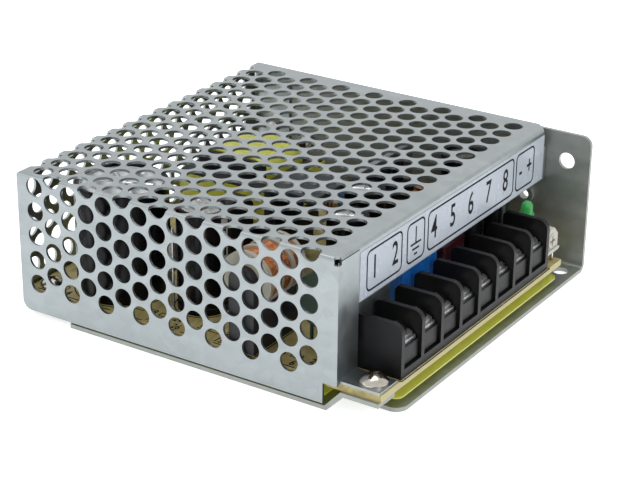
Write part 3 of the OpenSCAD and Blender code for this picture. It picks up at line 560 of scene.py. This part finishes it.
def swept(path, radius, sides=10):
    """Round wire along a path. The ring at each point lies in the plane across the path,
    spanned by two directions found from the path's own tangent. Both ends close in a point."""
    path = np.asarray(path, float)
    along = np.gradient(path, axis=0)
    along /= np.linalg.norm(along, axis=1, keepdims=True)
    guide = np.where(np.abs(along[:, 2:3]) > 0.9, [[1.0, 0, 0]], [[0, 0, 1.0]])
    side = np.cross(along, guide)
    side /= np.linalg.norm(side, axis=1, keepdims=True)
    other = np.cross(side, along)
    size = np.pad(np.full(len(path), float(radius)), 1)[:, None, None]
    path, side, other = (np.pad(rows, ((1, 1), (0, 0)), "edge") for rows in (path, side, other))
    angle = full_turn(sides)[None, :, None]
    ring = np.cos(angle) * side[:, None, :] + np.sin(angle) * other[:, None, :]
    return path[:, None, :] + size * ring, False, True


print("grid of a wire with 8 sides:", swept([(0, 0, k) for k in range(3)], 1, 8)[0].shape)

# %% Flat shapes
def flat_band(inner, outer, low, high):
    """Closed flat band between two outlines, from height low to height high."""
    corners = [(inner, low), (inner, high), (outer, high), (outer, low)]
    rings = [np.concatenate([outline, np.full((len(outline), 1), float(z))], 1)
             for outline, z in corners]
    return np.stack(rings, 1), True, True


def rounded_outline(low, high, radius, steps=6):
    """Outline of a rectangle whose corners are quarter circles of the given radius."""
    turn = np.linspace(0, np.pi / 2, steps)
    middles = [(high[0] - radius, high[1] - radius), (low[0] + radius, high[1] - radius),
               (low[0] + radius, low[1] + radius), (high[0] - radius, low[1] + radius)]
    arcs = [np.stack([m[0] + radius * np.cos(turn + q * np.pi / 2),
                      m[1] + radius * np.sin(turn + q * np.pi / 2)], 1)
            for q, m in enumerate(middles)]
    return np.concatenate(arcs)


def frame_line(low, high, radius, width, z0, z1):
    """Printed frame: the band between a rounded rectangle and the one set in by width."""
    outer = rounded_outline(low, high, radius)
    inner = rounded_outline((low[0] + width, low[1] + width), (high[0] - width, high[1] - width),
                            max(radius - width, 0.05))
    return flat_band(inner, outer, z0, z1)


def bar(low, high, z0, z1):
    """Small flat bar: a band from its outline to, very nearly, its own middle point."""
    outer = rounded_outline(low, high, 0.02, 2)
    middle = (outer.mean(0) - outer) * 0.999 + outer
    return flat_band(middle, outer, z0, z1)


def mm_box(node):
    """Lowest and highest corner of a solid, in mm."""
    low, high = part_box(node)
    return np.array(low) * 1000, np.array(high) * 1000

# %% [markdown]
# ## Wire on the choke
#
# The line choke has three sections of enamelled wire wound side by side. Seen close, the
# outer layer is a row of round ridges that climb as a helix. Modelling each turn as a
# tube would hide most of its faces inside the coil, so the outer skin is one surface
# whose radius swells over every turn.

# %% Choke windings
core_low, core_high = mm_box("choke_core")
wind_low, wind_high = mm_box("choke_windings")
choke_x = (core_low[0] + core_high[0]) / 2
choke_z = (wind_low[2] + wind_high[2]) / 2
COIL_R = (wind_high[2] - wind_low[2]) / 2
COIL_BORE = 4.35
WIRE = 0.55
CHOKE_SECTIONS = [(1.1, 4.0), (5.1, 8.9), (10.0, 12.9)]
choke_y = wind_low[1] - CHOKE_SECTIONS[0][0]


def wound_sleeve(length, radius, bore, wire, steps=64):
    """Skin of a coil. Radius = coil radius less a wire, plus a half circle over each turn,
    whose phase moves on by one turn per revolution; a plain bore closes the inside."""
    rows = int(length / wire * 10) + 1
    y = np.linspace(0, length, rows)[:, None]
    angle = full_turn(steps)[None, :]
    turn = np.mod(y / wire + angle / (2 * np.pi), 1.0) - 0.5
    r = radius - wire / 2 + np.sqrt(np.clip(0.25 - turn ** 2, 0, None)) * wire
    r = np.pad(r, ((1, 1), (0, 0)), constant_values=bore)
    y = np.pad(y, ((1, 1), (0, 0)), "edge")
    return np.stack([r * np.cos(angle), y + 0 * r, r * np.sin(angle)], -1)


coils = []
for start, end in CHOKE_SECTIONS:
    skin = wound_sleeve(end - start, COIL_R, COIL_BORE, WIRE)
    coils.append((skin + [choke_x, choke_y + start, choke_z], True, True))
choke_wire = make_piece("choke_wire", coils, copper)
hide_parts("choke_windings")
print("choke sections:", len(coils))

# %% [markdown]
# ## Wire on the output rings
#
# Each output inductor is a painted ring wound with thick wire. One path does it: the
# angle round the ring grows slowly while the point circles the ring's section quickly.
# The section is nearly square, so the circling follows a squared circle.

# %% Output inductor windings
RINGS = [((23.0, 4.5, 16.2), 7.5, 5.1, 26), ((18.5, 24.0, 15.8), 7.1, 4.9, 24)]
RING_THICK = 6.0
RING_WIRE = 0.85
FIRST_TURN, WOUND_ARC = 25, 310    # degrees
SQUARENESS = 0.45
STEPS_PER_TURN = 28


def squared(value):
    """A cosine or sine drawn towards 1 by a root, its sign kept."""
    return np.sign(value) * np.abs(value) ** SQUARENESS


def ring_turns(centre, outer, inner, turns):
    """Path of a winding on an upright ring whose axis is X. Angle round the ring grows
    over the wound arc; the point circles the section, a squared circle, once per turn."""
    t = np.linspace(0, 1, turns * STEPS_PER_TURN)
    around = np.radians(FIRST_TURN + WOUND_ARC * t)
    section = 2 * np.pi * turns * t
    middle = (inner + outer) / 2
    radial = middle + squared(np.cos(section)) * ((outer - inner) / 2 + RING_WIRE / 2)
    side = squared(np.sin(section)) * (RING_THICK / 2 + RING_WIRE / 2)
    return np.stack([side, radial * np.cos(around), radial * np.sin(around)], 1) + centre


ring_wires = [swept(ring_turns(centre, outer, inner, turns), RING_WIRE / 2)
              for centre, outer, inner, turns in RINGS]
inductor_wire = make_piece("inductor_wire", ring_wires, copper)
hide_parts("output_inductor_windings")
print("ring winding faces:", len(inductor_wire.data.polygons))

# %% [markdown]
# ## Capacitor tops
#
# A radial capacitor is an aluminium can in a shrunk plastic sleeve. The sleeve curls over
# the rim of the can and leaves a bright disc, which is scored so that it can open under
# pressure. The disc is a grid of radius and angle, pressed down along the score lines.

# %% Scored discs and curled rims
FIRST_SCORE = 0.4      # angle of the first score line
SCORE_HALF = 0.22
SCORED_PART = 0.82     # part of the radius that the score lines reach
ROUND_DOWN = 0.18
DISC_THICK = 0.45


def scored_disc(centre, radius, scores, depth=0.25):
    """Disc whose height dips near each score line: depth times a bell curve of the
    distance to the nearest line through the middle. The edge rounds down."""
    r = np.linspace(0, 1, 22)[:, None] * radius
    angle = full_turn(96)[None, :]
    x, y = r * np.cos(angle), r * np.sin(angle)
    z = np.zeros_like(x)
    for k in range(scores):
        line = np.pi * k / scores + FIRST_SCORE
        near = np.abs(x * np.sin(line) - y * np.cos(line))
        inside = 1 / (1 + np.exp((r / radius - SCORED_PART) * 60))
        z = np.minimum(z, -depth * np.exp(-(near / SCORE_HALF) ** 2) * inside)
    z = z - ROUND_DOWN * np.clip((r / radius - 0.9) / 0.1, 0, 1) ** 2
    top = np.stack([x, y, z], -1)
    under = np.concatenate([top[-1:], 0 * top[-1:]])
    under[..., 2] = -DISC_THICK
    return np.concatenate([top, under]) + centre, False, True


def curled_rim(centre, outer, inner, height=0.45):
    """Edge of the sleeve: a low rounded ring that runs from the can's side over its rim."""
    turn = np.linspace(0, np.pi, 8)
    middle, half = (outer + inner) / 2, (outer - inner) / 2
    profile = [(middle + half * math.cos(a), height * math.sin(a)) for a in turn]
    return turned(profile, centre)[0], True, True


OUTPUT_CANS = [(30.5, 19), (30.5, 31.5), (18, 40.2), (10.2, 7), (15.5, -9)]
_, cans_high = mm_box("output_capacitors")
filter_low, filter_high = mm_box("filter_capacitor")
bulk_low, bulk_high = mm_box("bulk_capacitor_sleeve")
filter_xy = (filter_low[:2] + filter_high[:2]) / 2
bulk_xy = (bulk_low[:2] + bulk_high[:2]) / 2
filter_r = (filter_high[0] - filter_low[0]) / 2
bulk_r = (bulk_high[0] - bulk_low[0]) / 2
OUTPUT_R = 5.0
RIM = 1.2           # width of the curled edge
SUNK = 0.02         # a top sinks this far into its can
RIM_SUNK = 0.01
RIM_IN = 0.05       # a rim starts this far inside the sleeve's side
BULK_SLEEVE = 0.25  # the large capacitor's sleeve is a separate solid
round_cans = [((x, y), cans_high[2], OUTPUT_R, 2) for x, y in OUTPUT_CANS]
round_cans.append((filter_xy, filter_high[2], filter_r, 3))
tops = [scored_disc((*xy, z - SUNK), r - RIM - SUNK, scores) for xy, z, r, scores in round_cans]
make_piece("capacitor_tops", tops, can_aluminium)
bulk_top = scored_disc((*bulk_xy, bulk_high[2] - BULK_SLEEVE - SUNK),
                       bulk_r - RIM - BULK_SLEEVE - RIM_SUNK, 3, 0.3)
make_piece("bulk_capacitor_top", [bulk_top], can_aluminium)
rims = [curled_rim((*xy, z - RIM_SUNK), r - RIM_IN, r - RIM) for xy, z, r, _ in round_cans]
rims.append(curled_rim((*bulk_xy, bulk_high[2] - RIM_SUNK), bulk_r - RIM_IN, bulk_r - RIM, 0.35))
make_piece("sleeve_rims", rims, sleeve_black)
print("can tops:", len(tops) + 1)

# %% [markdown]
# ## Stripe on the filter capacitor, and the fuse
#
# The sleeve of an electrolytic capacitor has a pale stripe along the side of its negative
# lead, with a row of minus signs. It is a thin curved patch that stands just proud of the
# sleeve. The fuse has two plated caps, pressed over the ends of its glass.

# %% Stripe and fuse caps
def curved_patch(centre, radius, a0, a1, z0, z1, proud=0.03, steps=10):
    """Shell of a cylinder between two angles and two heights, raised off it by proud."""
    angle = np.radians(np.linspace(a0, a1, steps))[:, None]
    r = np.array([radius - 0.02, radius - 0.02, radius + proud, radius + proud])
    z = np.array([z0, z1, z1, z0])
    shell = np.stack([r * np.cos(angle), r * np.sin(angle), z + 0 * angle], -1)
    ends = np.broadcast_to(shell[[0, -1]].mean(1, keepdims=True), (2, *shell.shape[1:]))
    shell = np.concatenate([ends[:1], shell, ends[1:]])
    return shell + centre, False, True


STRIPE = (-14, 6)   # degrees round the can
MINUS = (-8, 0)
MINUS_LONG, MINUS_STEP = 2.6, 4.6
STRIPE_FOOT, STRIPE_HEAD = 4, 1.2
stripe = [curved_patch((*filter_xy, 0), filter_r, *STRIPE, filter_low[2] + STRIPE_FOOT,
                       filter_high[2] - STRIPE_HEAD)]
minus = [curved_patch((*filter_xy, 0), filter_r + 0.03, *MINUS, z, z + MINUS_LONG, 0.02)
         for z in np.arange(filter_low[2] + STRIPE_FOOT + 1, filter_high[2] - 4, MINUS_STEP)]
make_piece("filter_capacitor_stripe", stripe, white_ink)
make_piece("filter_capacitor_minus", minus, ink)
fuse_low, fuse_high = mm_box("fuse")
FUSE_R = 2.6
FUSE_CAP = 5.4
fuse_mid = ((fuse_low[1] + fuse_high[1]) / 2, (fuse_low[2] + fuse_high[2]) / 2)
# a cup as (radius, depth): closed end, outside with rounded edges, then the inside
CUP = [(0, -0.05), (FUSE_R + 0.04, -0.05), (FUSE_R + 0.06, 0.1), (FUSE_R + 0.06, FUSE_CAP - 0.2),
       (FUSE_R + 0.03, FUSE_CAP), (FUSE_R - 0.1, FUSE_CAP), (FUSE_R - 0.1, 0.02), (0, 0.02)]
caps = [turned([(r, depth * way) for r, depth in CUP], (start, *fuse_mid), "x")
        for start, way in ((fuse_low[0], 1), (fuse_high[0], -1))]
make_piece("fuse_caps", caps, tinned)
print("fuse lies", round(fuse_mid[1], 1), "mm above the base")

# %% [markdown]
# ## Threads
#
# A machine screw's thread is a ridge on a helix. The solids keep plain shanks, so each
# thread is swept here: the same small triangle at every step of the helix, sunk a little
# into the shank. The terminals' threads ride with their screws, so they turn with them.

# %% Screw threads
PITCH = 0.5
RIDGE_HALF = 0.42    # half of the ridge's foot, as a part of the pitch
RIDGE_SUNK = 0.03


def thread(centre, core, crest, bottom, top, steps=20):
    """Triangle of height crest less core carried along a helix: z rises by the pitch in
    each turn. The ridge tapers to nothing over the first and last half turn."""
    turns = (top - bottom) / PITCH
    angle = np.linspace(0, 2 * np.pi * turns, int(steps * turns))[:, None]
    rise = bottom + PITCH * angle / (2 * np.pi)
    fade = np.clip(np.minimum(angle, angle[-1] - angle) / np.pi, 0, 1)
    offset = np.array([[-RIDGE_HALF, 0.0, RIDGE_HALF]]) * PITCH
    foot = core - RIDGE_SUNK
    radius = np.array([[foot, 0, foot]]) + 0 * angle
    radius[:, 1] = foot + (crest - foot) * fade[:, 0]
    points = np.stack([radius * np.cos(angle), radius * np.sin(angle), rise + offset * fade], -1)
    return points + centre, False, True


def middle_of(low, high):
    """Point of the base plane under the middle of a box."""
    return (low[0] + high[0]) / 2, (low[1] + high[1]) / 2, 0


WAYS = range(1, 9)
TERMINAL_CORE, TERMINAL_CREST = 1.44, 1.485
M3_CORE, M3_CREST = 1.5, 1.56
UNDER_HEAD = 2.9       # from the top of a terminal screw down to its thread
FOOT_THREAD_TOP = 4.2  # height above the base
for way in WAYS:
    low, high = mm_box(f"terminal_screw_{way}")
    ridge = thread(middle_of(low, high), TERMINAL_CORE, TERMINAL_CREST, low[2] + 0.3,
                   high[2] - UNDER_HEAD)
    make_piece(f"terminal_thread_{way}", [ridge], nickel, f"screw_{way}")
low, high = mm_box("foot_screw")
ridge = thread(middle_of(low, high), M3_CORE, M3_CREST, low[2] + 0.2, FOOT_THREAD_TOP)
make_piece("foot_thread", [ridge], nickel)
print("threads:", len(WAYS) + 1)

# %% [markdown]
# ## Leads and solder
#
# Each lead pokes through the board and is held by a cone of solder below it. The cone
# is a turned profile that flares where it wets the board. The places repeat the lead
# holes of the board.

# %% Solder joints
def way_y(way):
    """Middle of a terminal, counted from the near side."""
    low, high = mm_box(f"terminal_screw_{way}")
    return (low[1] + high[1]) / 2


def pair(x, y, dx=0.0, dy=0.0):
    """The two places that lie dx and dy to each side of (x, y)."""
    return [(x + s * dx, y + s * dy) for s in (-1, 1)]


contact_low, _ = mm_box("terminal_contacts")
lead_low, lead_high = mm_box("lamp_leads")
LAMP_LEAD_R = 0.25
TRIMMER = [(46.4, 31.6), (44.7, 33.6), (46.4, 35.6)]
SAFETY_CAPACITOR = (27.4, -36.5)
FILM_CAPACITOR = [(32.5, 4.15), (32.5, 11.65)]
SUPPRESSORS = [(-8, 30), (-8, 39)]
CLIPS_X, CLIP_HALF, FUSE_OFFSET = (5.2, 18.4), 2.2, 2.4
BRIDGE, BRIDGE_LEGS = (-14.6, -16), (-7.6, -2.5, 2.5, 7.6)
POWERS, POWER_BACK, POWER_LEG = [(-8.1, 1), (3.5, 18.5), (3.5, 29.5)], 2.45, 2.54
CHIP_ROW = 3.4       # from the middle of a dual in-line chip to each row of its legs
OPTOCOUPLER, OPTO_LEGS = (-4, -14), (-1.27, 1.27)
CONTROL_CHIP, CHIP_LEGS = (-26, 35), (-3.81, -1.27, 1.27, 3.81)
AXIALS = [(-40, 30), (-40, 35), (-15.2, 33), (-15.2, 37), (4, -12), (24, -17)]
BULK_LEAD, CAN_LEAD, AXIAL_LEAD = 5, 2.5, 5
TRANSFORMER, TRANSFORMER_ROW = (-25, 11), 11.5
TRANSFORMER_PINS = (-8.8, -3.8, 1.2, 6.2)
leads = [(contact_low[0] + 0.4, way_y(way)) for way in WAYS]
leads += [(x, (lead_low[1] + lead_high[1]) / 2)
          for x in (lead_low[0] + LAMP_LEAD_R, lead_high[0] - LAMP_LEAD_R)]
leads += TRIMMER + pair(*SAFETY_CAPACITOR, dx=3.7) + FILM_CAPACITOR
leads += [place for x, y in SUPPRESSORS for place in pair(x, y, dy=2.5)]
leads += [(x + CLIP_HALF, way_y(2) + FUSE_OFFSET) for x in CLIPS_X]
leads += [(BRIDGE[0], BRIDGE[1] + y) for y in BRIDGE_LEGS]
leads += [(x + POWER_BACK, y + s * POWER_LEG) for x, y in POWERS for s in (-1, 0, 1)]
for (x, y), legs in ((OPTOCOUPLER, OPTO_LEGS), (CONTROL_CHIP, CHIP_LEGS)):
    leads += [place for leg in legs for place in pair(x + leg, y, dy=CHIP_ROW)]
for places, half in ((AXIALS, AXIAL_LEAD), (OUTPUT_CANS, CAN_LEAD), ([bulk_xy], BULK_LEAD),
                     ([filter_xy], CAN_LEAD)):
    leads += [place for x, y in places for place in pair(x, y, dx=half)]
leads += [place for x in TRANSFORMER_PINS
          for place in pair(TRANSFORMER[0] + x, TRANSFORMER[1], dy=TRANSFORMER_ROW)]
board_low, board_high = mm_box("circuit_board")
# a joint as (radius, height): the lead's tip, the cone's flare, a rim inside the board
FILLET = [(0.0, -1.7), (0.35, -1.6), (0.42, -1.1), (0.60, -0.5), (0.95, -0.15), (1.25, -0.02),
          (1.2, 0.03), (0.0, 0.03)]
joints = [turned(FILLET, (x, y, board_low[2]), steps=14) for x, y in leads]
make_piece("solder_joints", joints, solder)
print("solder joints:", len(joints))

# %% [markdown]
# ## Colour bands
#
# Axial resistors carry their value as rings of paint. Each ring here is a short tube that
# stands just proud of the body.

# %% Resistor bands
BODY_R = 1.15
BAND_IN, BAND_OUT = BODY_R - 0.05, BODY_R + 0.02
BAND_W = 0.55
# colour of each band, and where it starts from the middle of the body
BANDS = {"brown": ((0.10, 0.03, 0.01), -2.1), "black": ((0.01, 0.01, 0.01), -1.0),
         "red": ((0.45, 0.02, 0.015), 0.1), "gold": ((0.50, 0.32, 0.06), 1.8)}
for tint, (colour, start) in BANDS.items():
    paint = finish("band_" + tint, tuple(0.8 * c for c in colour), colour, 1, (0.3, 0.4))
    profile = [(BAND_IN, start), (BAND_OUT, start), (BAND_OUT, start + BAND_W),
               (BAND_IN, start + BAND_W)]
    rings = [(turned(profile, (x, y, board_high[2] + BODY_R), "x", 24)[0], True, True)
             for x, y in AXIALS]
    make_piece("resistor_band_" + tint, rings, paint)
print("bands on each of", len(AXIALS), "resistors:", len(BANDS))

# %% [markdown]
# ## Upright resistor
#
# A bleed resistor stands on end in the gap between the two large capacitors. Its body is
# in a white sleeve and its upper lead bends over in a hairpin and runs down beside it.

# %% Upright resistor
UPRIGHT = (-16.0, -34.4)
UPRIGHT_R, UPRIGHT_END_R = 1.15, 0.8
UPRIGHT_LOW, UPRIGHT_HIGH = 14.5, 24.0
END_ROUND = 0.5
HAIRPIN = (1.6, -1.9)   # from the body's axis to the lead that runs down beside it
BEND_LIFT = 0.4
LEAD_R = 0.35
LEAD_IN = 0.2           # a lead starts this far inside the body
lead_foot = board_high[2] - 1.6
upright_profile = [(0, UPRIGHT_LOW), (UPRIGHT_END_R, UPRIGHT_LOW),
                   (UPRIGHT_R, UPRIGHT_LOW + END_ROUND), (UPRIGHT_R, UPRIGHT_HIGH - END_ROUND),
                   (UPRIGHT_END_R, UPRIGHT_HIGH), (0, UPRIGHT_HIGH)]
make_piece("upright_resistor", [turned(upright_profile, (*UPRIGHT, 0), steps=32)],
           white_moulding)
# the bend is half a circle in the upright plane of the hairpin
half_turn = np.linspace(0, np.pi, 12)[:, None]
across = (1 - np.cos(half_turn)) / 2
bend = np.array([*UPRIGHT, UPRIGHT_HIGH + BEND_LIFT]) + np.concatenate(
    [HAIRPIN[0] * across, HAIRPIN[1] * across, math.hypot(*HAIRPIN) / 2 * np.sin(half_turn)], 1)
bend_start = np.array([[*UPRIGHT, UPRIGHT_HIGH - LEAD_IN]])
down = np.linspace(bend[-1], [*bend[-1][:2], lead_foot], 6)[1:]
foot_lead = np.linspace([*UPRIGHT, lead_foot], [*UPRIGHT, UPRIGHT_LOW + LEAD_IN], 4)
upright_leads = [swept(np.concatenate([bend_start, bend, down]), LEAD_R), swept(foot_lead, LEAD_R)]
make_piece("upright_resistor_leads", upright_leads, tinned)
print("upright resistor ends", UPRIGHT_HIGH, "mm above the base")

# %% [markdown]
# ## Print on the board
#
# The upper side of the board is printed with the outline of each part and a number
# beside it. The ink stands 0.02 mm proud. Outlines follow the solids, a little larger.

# %% Board outlines
LINE_W = 0.3
MARGIN = 0.6
PRINTED = (-0.01, 0.02)     # a print's two heights over its surface
on_board = [board_high[2] + z for z in PRINTED]


def round_line(centre, radius, steps=48):
    """Printed circle: a flat band between two radii."""
    angle = full_turn(steps)
    circle = np.stack([np.cos(angle), np.sin(angle)], 1)
    return flat_band(circle * (radius - LINE_W) + centre, circle * radius + centre, *on_board)


def square_line(low, high):
    """Printed rectangle a margin outside the footprint from low to high."""
    return frame_line((low[0] - MARGIN, low[1] - MARGIN), (high[0] + MARGIN, high[1] + MARGIN),
                      0.4, LINE_W, *on_board)


outlines = [round_line(bulk_xy, bulk_r + 0.8), round_line(filter_xy, filter_r + 0.8)]
outlines += [round_line(xy, OUTPUT_R + 0.7) for xy in OUTPUT_CANS]
outlines += [square_line((x - 4, y - 1.3), (x + 4, y + 1.3)) for x, y in AXIALS]
for node in ("transformer_core", "bridge_rectifier", "film_capacitor", "safety_capacitor",
             "choke_core", "control_chip", "optocoupler", "terminal_block"):
    low, high = mm_box(node)
    outlines.append(square_line(low, high))
# a frame in the near rear corner, round the first number
outlines.append(frame_line((board_low[0] + 3, board_low[1] + 3.2), (-39.6, -42.4), 0.8, LINE_W,
                           *on_board))
# outlines of small parts, between the numbers of the second row
SMALL_PARTS_X = (-19.6, -12.4, 1.6, 23.6, 33.4)
SMALL_HALF = 1.5
for x in SMALL_PARTS_X:
    outlines.append(frame_line((x - SMALL_HALF, -43.1), (x + SMALL_HALF, -41.3), 0.3, 0.28,
                               *on_board))
# a broken line along the near edge of the board
NEAR_LINE_Y = (-47.2, -46.85)
for x in np.arange(-46.0, 36.0, 4.6):
    outlines.append(bar((x, NEAR_LINE_Y[0]), (x + 3.0, NEAR_LINE_Y[1]), *on_board))
# a dashed line that parts the mains side from the low voltage side
PARTING_X = (-11.6, -11.2)
for y in np.arange(board_low[1] + 12, board_high[1] - 3, 4.0):
    outlines.append(bar((PARTING_X[0], y), (PARTING_X[1], y + 2.2), *on_board))
make_piece("board_outlines", outlines, ink, smooth=False)
print("board outlines:", len(outlines))

# %% [markdown]
# ## Numbers
#
# Plain part numbers stand near the edge of the board, where the lowest holes of the
# cover show them, and each terminal but the earth has its number on the label. A text
# object is made a mesh first, and the mesh is moved to its place, so that a piece of
# numbers sits at the origin like any other piece.

# %% Text as meshes
FONT_SIZE = 1.38    # a font's size over the height of its numerals
INK_THICK = 0.02


def number_mesh(words, height, narrow=0.75, weight=0.0):
    """Mesh of a short text lying flat on the origin, its height in mm. Weight is how far
    its strokes swell on each side."""
    curve = bpy.data.curves.new("number", "FONT")
    curve.body = words
    curve.align_x = "CENTER"
    curve.align_y = "CENTER"
    curve.size = height * MM * FONT_SIZE
    curve.extrude = INK_THICK / 2 * MM
    curve.offset = weight * MM
    curve.resolution_u = 4
    maker = bpy.data.objects.new("number", curve)
    scene_objects.link(maker)
    bpy.context.view_layer.update()
    mesh = bpy.data.meshes.new_from_object(maker)
    bpy.data.objects.remove(maker)
    mesh.transform(Matrix.Diagonal((narrow, 1, 1, 1)))
    return mesh


def joined(name, meshes, material):
    """One piece from several small meshes."""
    shape = bmesh.new()
    for mesh in meshes:
        shape.from_mesh(mesh)
        bpy.data.meshes.remove(mesh)
    mesh = bpy.data.meshes.new(name)
    shape.to_mesh(mesh)
    shape.free()
    mesh.materials.clear()
    return finish_piece(name, mesh, material, "case", smooth=False)


def moved(mesh, x, y, z, turn=Matrix.Identity(4)):
    """The mesh turned and then moved to a place in mm."""
    mesh.transform(Matrix.Translation((x * MM, y * MM, z * MM)) @ turn)
    return mesh


FIRST_ROW_Y, SECOND_ROW_Y = -45.4, -42.2
FIRST_ROW = [(-43, "11"), (-38.2, "4"), (-20.8, "12"), (-14.5, "7"), (-7, "26"), (-1, "3"),
             (5, "15"), (18.5, "21"), (24.5, "6"), (30.5, "19"), (36.5, "9")]
SECOND_ROW = [(-16, "18"), (-8.6, "24"), (-2.2, "5"), (5.4, "33"), (19.6, "16"), (28.4, "27")]
INNER_NUMBERS = [(-40, 26.5, "31"), (-31, 29, "2"), (-20, 41.5, "14"), (0, -19, "5"),
                 (24, -21, "17")]
NUMBER_Z = board_high[2] + 0.01
NUMBER_SLANT = 4         # degrees to each side
numbers = []
for row, y in ((FIRST_ROW, FIRST_ROW_Y), (SECOND_ROW, SECOND_ROW_Y)):
    for x, words in row:
        slant = math.radians(float(rng.uniform(-NUMBER_SLANT, NUMBER_SLANT)))
        numbers.append(moved(number_mesh(words, 2.3, weight=0.07), x, y, NUMBER_Z,
                             Matrix.Rotation(slant, 4, "Z")))
for x, y, words in INNER_NUMBERS:
    numbers.append(moved(number_mesh(words, 1.8), x, y, NUMBER_Z))
joined("board_numbers", numbers, ink)
print("board numbers:", len(numbers))

# %% [markdown]
# ## Label over the terminals
#
# The label names the ways in four rounded frames: the two supply ways, the earth, the
# five outputs and the trimmer. Here the ways are plain numbers, with the usual sign for
# earth and a minus and a plus for the trimmer's two directions.

# %% Label print
label_low, label_high = mm_box("label")
label_x = label_high[0]


def stand_on_label(grids):
    """Stands flat grids up to face +X: what was drawn along X runs along Y, and what was
    drawn along Y runs up."""
    return [(np.stack([label_x + points[..., 2], points[..., 0], points[..., 1]], -1), *wraps)
            for points, *wraps in grids]


FRAME_R, FRAME_W = 1.6, 0.46
SIGN_HALF = 0.24         # half a line of the earth sign
EARTH_WAY = 3
frame_low, frame_high = label_low[2] + 1.0, label_high[2] - 0.7
frames = [(way_y(1) - 3.4, way_y(2) + 3.0), (way_y(3) - 3.6, way_y(3) + 4.3),
          (way_y(4) - 3.0, way_y(8) + 4.3), (way_y(8) + 5.3, way_y(8) + 14.9)]
label_lines = [frame_line((a, frame_low), (b, frame_high), FRAME_R, FRAME_W, *PRINTED)
               for a, b in frames]
_, earth_y, _, trim_y = [(a + b) / 2 for a, b in frames]
middle_z = (frame_low + frame_high) / 2
# the sign for earth: an upright over three level lines, each shorter than the one above
earth_top = middle_z - 0.6
earth_lines = [(SIGN_HALF, earth_top, middle_z + 3.4)]
for k, half in enumerate((2.3, 1.5, 0.7)):
    z = earth_top - 1.25 * k
    earth_lines.append((half, z - SIGN_HALF, z + SIGN_HALF))
label_lines += [bar((earth_y - half, z0), (earth_y + half, z1), *PRINTED)
                for half, z0, z1 in earth_lines]
make_piece("label_frames", stand_on_label(label_lines), ink, smooth=False)

stand = Matrix(((0, 0, 1, 0), (1, 0, 0, 0), (0, 1, 0, 0), (0, 0, 0, 1)))
signs = [moved(number_mesh(str(way), 5.6, 0.72, 0.10), label_x, way_y(way), middle_z, stand)
         for way in WAYS if way != EARTH_WAY]
signs += [moved(number_mesh(words, 4.4, 0.8, 0.10), label_x, trim_y + shift, middle_z, stand)
          for words, shift in (("-", -2.2), ("+", 2.2))]
joined("label_numbers", signs, ink)
print("label frames:", len(frames), "numbers:", len(signs))
